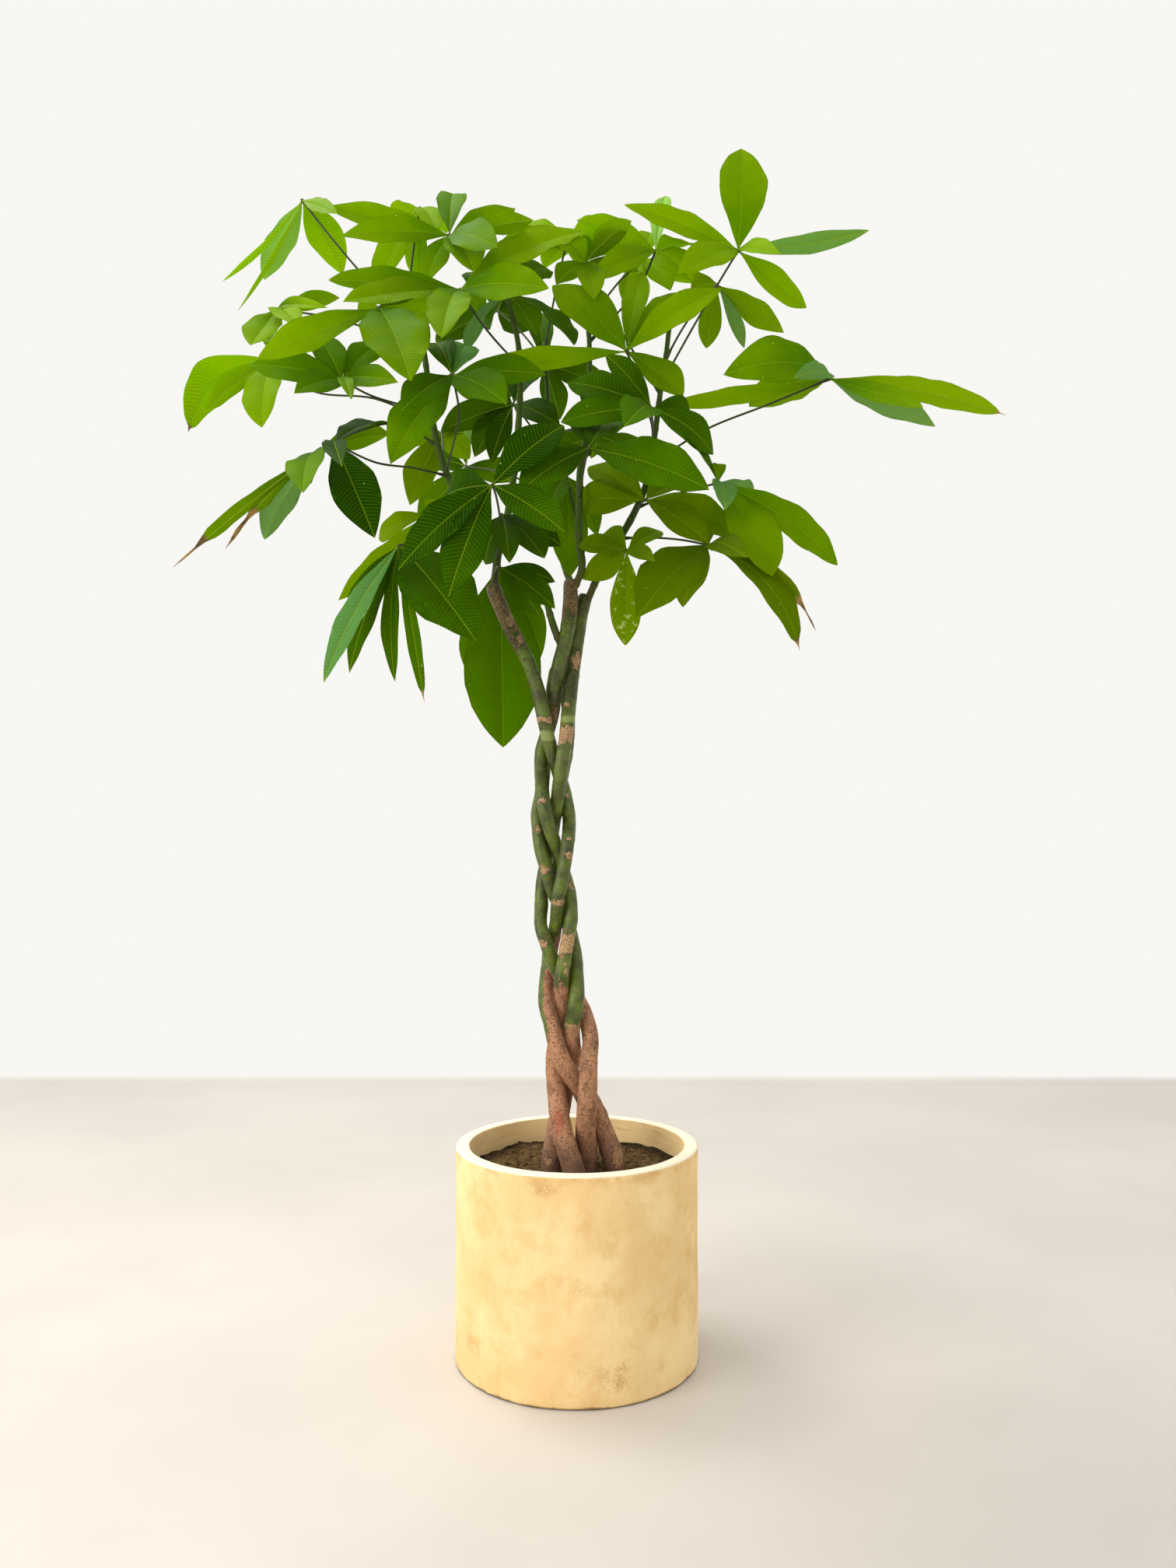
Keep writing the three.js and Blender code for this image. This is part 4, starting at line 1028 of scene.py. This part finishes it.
# How far apart the rings are where leaves grew, how long they are beside that, how a shoot
# is thick between them and swells at them, and how far from its end it is woody
RING_SPACING, RING_LENGTH = 0.036, 0.07
SHOOT_THICK, RING_SWELLS = 0.97, 0.14
WOODY_END = 0.05
SHOOT_BUMPS = [(0.03, 0.03, 40)]


def shoot_piece(node, number):
    """A shoot: a tube whose radius swells at rings where leaves grew, every few centimetres."""
    line, radius, reach = read_bar(node, SHOOT_SIDES, SHOOT_ROWS)
    knot = np.exp(-(((reach / RING_SPACING + 0.3 * number) % 1 - 0.5) / RING_LENGTH) ** 2)
    radius = radius * (SHOOT_THICK + RING_SWELLS * knot)
    radius[0] *= 0.72
    grid = line[:, None] + np.zeros((1, SHOOT_AROUND, 1))
    radius = radius[:, None] * uneven(grid, SHOOT_BUMPS, 1, number)
    corners = tube(line, radius, SHOOT_AROUND)
    state = np.zeros((len(corners), 3))
    state[1:-1, 0] = SHOOT_GREEN
    woody = knot * 0.6 + smoothly(reach[-1] - WOODY_END, reach[-1], reach)
    state[1:-1, 1] = np.repeat(woody, SHOOT_AROUND)
    piece = make_piece(
        f"green_{node}", corners, tube_faces(SHOOT_ROWS, SHOOT_AROUND), [STALK],
        values={"wood_state": np.clip(state, 0, 1)},
    )
    place_piece(piece, "green_wood", node)


# Trunks

# How far down the picture each trunk's bark turns from green to brown
BROWN_BELOW = {1: 1240, 2: 1262, 3: 1262, 4: 1250, 5: 1318}
# How much further down that border lies on the left side of a trunk, how many dots beside the
# middle that side is reached, how far the border wanders and how wide half of it is
GREEN_SIDE = {1: 95}
SIDE_DOTS, BORDER_WANDERS, BORDER_HALF = 9, 14, 18
# How high above the soil the bark grows darker towards it
LOW_BARK = 0.07
# Rings on the trunks where leaves once grew: how many, how far apart and how long
KNOT_COUNT, KNOT_GAPS, KNOT_REACH = 14, (0.05, 0.13), 0.005
# How thick a trunk is beside its solid, how it swells at those rings, and how its top is domed
TRUNK_THICK, KNOT_SWELLS, TOP_THICK = 0.975, 0.05, (0.8, 0.95)
TRUNK_BUMPS = [(0.03, 0.06, 20), (0.016, 0.016, 30)]
# How much further back than a trunk's middle its unmarked far side begins
FAR_SIDE = 0.004
# Marks on the trunks, by the trunk's number: where each is seen, across and down, its half
# height and half width in metres, and how strong it is. A width of None goes round the trunk.
SCARS = {
    1: [
        (657, 798, 0.016, 0.008, 0.9), (668, 822, 0.010, 0.007, 0.9), (699, 925, 0.005, None, 0.95),
        (729, 1025, 0.008, 0.006, 0.7), (731, 1080, 0.005, 0.005, 0.8),
        (732, 1100, 0.007, 0.007, 1.0), (712, 1158, 0.004, None, 1.0),
        # The mark at (775, 1435) is a painted highlight, a pale glint on the root, not a scar.
        (716, 1367, 0.008, 0.006, 1.0), (775, 1435, 0.010, 0.003, 1.1),
        (795, 1485, 0.020, 0.008, 1.2),
    ],
    2: [
        (696, 1029, 0.006, 0.006, 1.0), (734, 1136, 0.009, None, 0.7),
        (729, 1214, 0.017, None, 1.15), (727, 1244, 0.020, 0.006, 0.7),
    ],
    3: [
        (740, 850, 0.014, 0.009, 1.0), (729, 907, 0.005, 0.007, 0.9), (728, 946, 0.015, None, 1.15),
        (698, 1212, 0.007, 0.009, 1.1), (760, 1350, 0.004, None, 0.8),
        (745, 1433, 0.004, 0.006, 0.9),
    ],
    5: [
        (692, 1068, 0.006, 0.006, 1.0), (700, 1117, 0.009, 0.008, 1.0),
        (740, 1272, 0.006, 0.006, 0.8), (737, 1319, 0.004, None, 0.9),
        (705, 1491, 0.006, 0.008, 1.0),
    ],
}
PALE_RINGS = {
    1: [(705, 946, 0.009, None, 1.0)],
    3: [(730, 927, 0.006, None, 1.0)],
}
DARK_MARKS = {
    1: [(645, 780, 0.075, None, 0.75)],
    2: [(735, 765, 0.045, None, 0.9), (713, 919, 0.020, 0.009, 0.9)],
}
RED_MARKS = {2: [(718, 1437, 0.030, 0.010, 1.0), (711, 919, 0.006, 0.005, 1.0)]}


def marked(marks, corners, line):
    """How strongly each corner of a trunk is marked. A ring fades as a bell curve of the
    height above its middle, and a patch also of the distance beside it as seen. Patches are
    on the side that is seen only."""
    seen, line_seen = seen_at(corners), seen_at(line)
    strongest = np.zeros(len(corners))
    for across, down, tall, wide, strength in marks:
        nearest = line[abs(line_seen[:, 1] - down).argmin()]
        far = ((corners[:, 2] - nearest[2]) / tall) ** 2
        if wide is not None:
            behind = (corners[:, 1] - nearest[1]) > FAR_SIDE
            far = far + ((seen[:, 0] - across) / (wide * TRUNK_DOTS)) ** 2 + 9 * behind
        strongest = np.maximum(strongest, strength * np.exp(-far))
    return strongest


def bark_state(number, corners, line):
    """Two sets of three numbers that bark carries: how brown, scarred and pale it is, and
    how dark, reddish and close to the soil."""
    seen, line_seen = seen_at(corners), seen_at(line)
    middle = np.interp(seen[:, 1], line_seen[:, 1], line_seen[:, 0])
    to_left = np.clip((middle - seen[:, 0]) / SIDE_DOTS, -0.4, 1)
    edge = BROWN_BELOW[number] + BORDER_WANDERS * ripple(corners, 0.05, 7)
    edge = edge + GREEN_SIDE.get(number, 0) * to_left
    brown = smoothly(-BORDER_HALF, BORDER_HALF, seen[:, 1] - edge)
    scar, pale, dark, red = (
        marked(marks.get(number, []), corners, line)
        for marks in (SCARS, PALE_RINGS, DARK_MARKS, RED_MARKS)
    )
    low = 1 - smoothly(SOIL_TOP, SOIL_TOP + LOW_BARK, corners[:, 2])
    return np.stack([brown, scar, pale], axis=-1), np.stack([dark, red, low], axis=-1)


def trunk_piece(node, number):
    """A trunk of the plait: a tube on the solid's line, with an uneven thickness, low rings
    where leaves once grew and a slightly domed cut top."""
    line, radius, reach = read_bar(node, TRUNK_SIDES, TRUNK_ROWS)
    if line[0, 2] < line[-1, 2]:
        line, radius = line[::-1], radius[::-1]
    knots = np.cumsum(np.random.default_rng(number).uniform(*KNOT_GAPS, KNOT_COUNT))
    rings = np.exp(-(((reach[:, None] - knots) / KNOT_REACH) ** 2)).sum(axis=1)
    radius = radius * (TRUNK_THICK + KNOT_SWELLS * rings)
    radius[:2] *= TOP_THICK
    plain = tube(line, radius, TRUNK_AROUND)[1:-1].reshape(TRUNK_ROWS, TRUNK_AROUND, 3)
    radius = radius[:, None] * uneven(plain, TRUNK_BUMPS, 1, number)
    corners = tube(line, radius, TRUNK_AROUND)
    state, stain = bark_state(number, corners, line)
    piece = make_piece(
        f"plaited_{node}", corners, tube_faces(TRUNK_ROWS, TRUNK_AROUND), [BARK],
        values={"bark_state": state, "bark_stain": stain},
    )
    place_piece(piece, "bark", node)


# Planter and soil

POT_BUMPS = [(0.0006, 0.09, 1), (0.00025, 0.02, 2)]
# How far the wall's rows keep from its rims, and how high and deep the rim is chipped
WALL_MARGIN = 0.012
CHIP_HEIGHT, CHIP_DEPTH = 0.004, 0.0012
SOIL_BUMPS = [(0.0009, 0.02, 5), (0.0007, 0.007, 6)]
# How high the soil rolls, and how deep the groove is that it left along the wall
SOIL_ROLL, SOIL_GROOVE = 0.002, 0.006
# The size of the smallest crumb, and how much larger the largest is
CRUMB_SIZE, CRUMB_MORE = 0.0009, 0.0022


def corner_arc(across, up, radius, start, end):
    """Points of a rounded corner of a profile, about its middle, between two angles."""
    angles = np.radians(np.linspace(start, end, 5))
    return [(across + radius * math.cos(a), up + radius * math.sin(a)) for a in angles]


def turned(profile):
    """Corners and faces of a profile of radii and heights turned about the pot's axis, whose
    first and last points are the poles, so it is a closed tube."""
    cos, sin = circle(POT_AROUND)
    rows = np.array([(r * cos, r * sin, z + 0 * cos) for r, z in profile[1:-1]])
    rows = rows.transpose(0, 2, 1).reshape(-1, 3)
    first, last = ([[0, 0, profile[end][1]]] for end in (0, -1))
    return np.vstack([first, rows, last]), tube_faces(len(profile) - 2, POT_AROUND)


def drill_drains(piece):
    """Cuts the round drain holes out of the planter's floor."""
    drill = bmesh.new()
    for index in range(DRAIN_COUNT):
        angle = index / DRAIN_COUNT * 2 * math.pi
        centre = (DRAIN_RING * math.sin(angle), DRAIN_RING * math.cos(angle), POT_FLOOR / 2)
        bmesh.ops.create_cone(
            drill, cap_ends=True, segments=DRAIN_SIDES, radius1=DRAIN_RADIUS,
            radius2=DRAIN_RADIUS, depth=3 * POT_FLOOR, matrix=Matrix.Translation(centre),
        )
    mesh = bpy.data.meshes.new("drill")
    drill.to_mesh(mesh)
    drill.free()
    cutter = added("drill", mesh)
    cut = piece.modifiers.new("drain_holes", "BOOLEAN")
    cut.operation, cut.solver, cut.object = "DIFFERENCE", "EXACT", cutter
    bpy.context.view_layer.update()
    drilled = piece.evaluated_get(bpy.context.evaluated_depsgraph_get())
    ready = bpy.data.meshes.new_from_object(drilled)
    piece.modifiers.clear()
    piece.data = ready
    bpy.data.objects.remove(cutter)


def pot_piece():
    """The planter: a turned profile with rounded edges, whose wall is pushed in and out a
    little by smooth bumps, whose rim is slightly chipped, and whose floor has drain holes."""
    wall = np.linspace(WALL_MARGIN, POT_HEIGHT - WALL_MARGIN, POT_ROWS)
    profile = [(r, 0) for r in (0, 0.03, 0.055, 0.1, 0.14)]
    profile += corner_arc(POT_RADIUS - OUTER_EDGE, OUTER_EDGE, OUTER_EDGE, -90, 0)
    profile += [(POT_RADIUS, z) for z in wall]
    profile += corner_arc(POT_RADIUS - OUTER_EDGE, POT_HEIGHT - OUTER_EDGE, OUTER_EDGE, 0, 90)
    profile += corner_arc(POT_INSIDE + INNER_EDGE, POT_HEIGHT - INNER_EDGE, INNER_EDGE, 90, 180)
    profile += [(POT_INSIDE, z) for z in wall[::-1] if z > POT_FLOOR + 2 * FLOOR_EDGE]
    profile += corner_arc(POT_INSIDE - FLOOR_EDGE, POT_FLOOR + FLOOR_EDGE, FLOOR_EDGE, 0, -90)
    profile += [(r, POT_FLOOR) for r in (0.1, 0.05, 0)]
    corners, faces = turned(profile)
    reach = np.hypot(corners[:, 0], corners[:, 1])
    push = uneven(corners, POT_BUMPS)
    lip = smoothly(POT_HEIGHT - CHIP_HEIGHT, POT_HEIGHT, corners[:, 2])
    chip = np.maximum(ripple(corners, 0.03, 3) - 0.55, 0) * lip * CHIP_DEPTH
    scale = 1 + (push - chip) * (reach > 0.15) / np.maximum(reach, 0.01)
    corners[:, :2] *= scale[:, None]
    piece = make_piece("cast_planter", corners, faces, [STONE], crease=50)
    drill_drains(piece)
    place_piece(piece, "pot", "pot")


def soil_height(x, y):
    """Height of the soil's top: a shallow dish with gentle rolls and fine clods, and a groove
    along the wall, where the soil has shrunk."""
    points = np.stack([x, y, np.zeros_like(x)], axis=-1)
    roll = np.sin(x / 0.031 + 0.6) * np.cos(y / 0.027 - 0.4) + 0.5 * np.sin((x + y) / 0.017)
    edge = np.hypot(x, y) / POT_INSIDE
    dish = SOIL_DISH * (1 - edge**2) + SOIL_GROOVE * edge**30
    return SOIL_TOP + SOIL_ROLL * roll - dish + uneven(points, SOIL_BUMPS)


def soil_piece():
    """The soil: a turned block whose top is raised to the soil's height."""
    radius = POT_INSIDE - SOIL_GAP
    bottom = POT_FLOOR + 0.0005
    profile = [(0, bottom), (0.08, bottom), (radius - 0.006, bottom), (radius, bottom + 0.006)]
    profile += [(radius, z) for z in np.linspace(0.05, SOIL_TOP - 0.012, 6)]
    profile += [(radius, SOIL_TOP)]
    profile += [(r, SOIL_TOP) for r in np.linspace(radius - 0.0015, 0.002, SOIL_ROWS)]
    profile += [(0, SOIL_TOP)]
    corners, faces = turned(profile)
    top = corners[:, 2] > SOIL_TOP - 0.001
    corners[top, 2] = soil_height(corners[top, 0], corners[top, 1])
    piece = make_piece("soil_bed", corners, faces, [SOIL])
    place_piece(piece, "soil", "soil")


def crumb_piece():
    """Crumbs that lie on the soil: small twelve-cornered lumps, each stretched, turned and
    set a third of the way into the ground."""
    draw = np.random.default_rng(11)
    lump = bmesh.new()
    bmesh.ops.create_icosphere(lump, subdivisions=1, radius=1)
    knobs = np.array([v.co for v in lump.verts])
    sides = np.array([[v.index for v in f.verts] for f in lump.faces])
    lump.free()
    reach = (POT_INSIDE - CRUMB_MARGIN) * np.sqrt(draw.uniform(0, 1, CRUMB_COUNT))
    angle = draw.uniform(0, 2 * np.pi, CRUMB_COUNT)
    x, y = reach * np.cos(angle), reach * np.sin(angle)
    size = CRUMB_SIZE + CRUMB_MORE * draw.uniform(0, 1, CRUMB_COUNT) ** 4
    stretch = draw.uniform(0.6, 1.3, (CRUMB_COUNT, 1, 3)) * size[:, None, None]
    knobs = knobs * draw.uniform(0.8, 1.15, (CRUMB_COUNT, len(knobs), 1)) * stretch
    cos, sin = np.cos(angle * 7)[:, None], np.sin(angle * 7)[:, None]
    a, b, c = np.moveaxis(knobs, -1, 0)
    spun = np.stack([a * cos - b * sin, a * sin + b * cos, c], axis=-1)
    middle = np.stack([x, y, soil_height(x, y) + 0.3 * size], axis=-1)
    corners = (middle[:, None] + spun).reshape(-1, 3)
    faces = sides + np.arange(CRUMB_COUNT)[:, None, None] * knobs.shape[1]
    piece = make_piece("soil_crumbs", corners, faces.reshape(-1, 3).tolist(), [SOIL])
    place_piece(piece, "soil")


pot_piece()
soil_piece()
crumb_piece()
makers = {"trunk": trunk_piece, "shoot": shoot_piece, "frond": leaf_piece}
for node in sorted(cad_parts):
    kind, _, number = node.partition("_")
    if kind in makers:
        makers[kind](node, int(number))


# Floor, light and camera


def soft_light(name, place, aim, size, watts, tint):
    """A square soft light at a place, turned towards its aim."""
    lamp = bpy.data.lights.new(name, "AREA")
    lamp.shape, lamp.size, lamp.energy, lamp.color = "SQUARE", size, watts, tint
    ahead = unit(np.array(aim) - np.array(place))
    right = unit(np.cross(ahead, (0, 0, 1)))
    above = np.cross(right, ahead)
    turn = np.stack([right, above, -ahead], axis=1)
    added(name, lamp).matrix_world = Matrix.Translation(place) @ Matrix(turn.tolist()).to_4x4()


def make_stage():
    ways = ((-1, -1), (1, -1), (1, 1), (-1, 1))
    corners = [(FLOOR_HALF * x, FLOOR_HALF * y, 0) for x, y in ways]
    floor = make_piece("floor", corners, [(0, 1, 2, 3)], [floor_finish()])
    world = bpy.data.worlds.new("studio")
    world.use_nodes = True
    backdrop = world.node_tree.nodes["Background"]
    backdrop.inputs["Color"].default_value = colour(248, 247, 243)
    backdrop.inputs["Strength"].default_value = 1.0
    bpy.context.scene.world = world
    soft_light("sky_light", (-1.2, 0.7, 3.3), (0, 0, 1.4), 1.4, 60, (1, 0.99, 0.96))
    soft_light("side_light", (-2.3, -1.6, 1.5), (0, 0, 0.8), 1.4, 42, (1, 0.98, 0.95))


def make_camera():
    camera = bpy.data.cameras.new("viewer")
    camera.sensor_width = SENSOR
    camera.lens = SENSOR * FOCAL / PICTURE_HEIGHT
    camera.clip_start, camera.clip_end = 0.05, 40
    viewer = added("viewer", camera)
    viewer.location = EYE
    viewer.rotation_euler = (math.pi / 2 + PITCH, 0, 0)
    bpy.context.scene.camera = viewer


make_stage()
make_camera()
bpy.context.scene.view_settings.view_transform = "Standard"
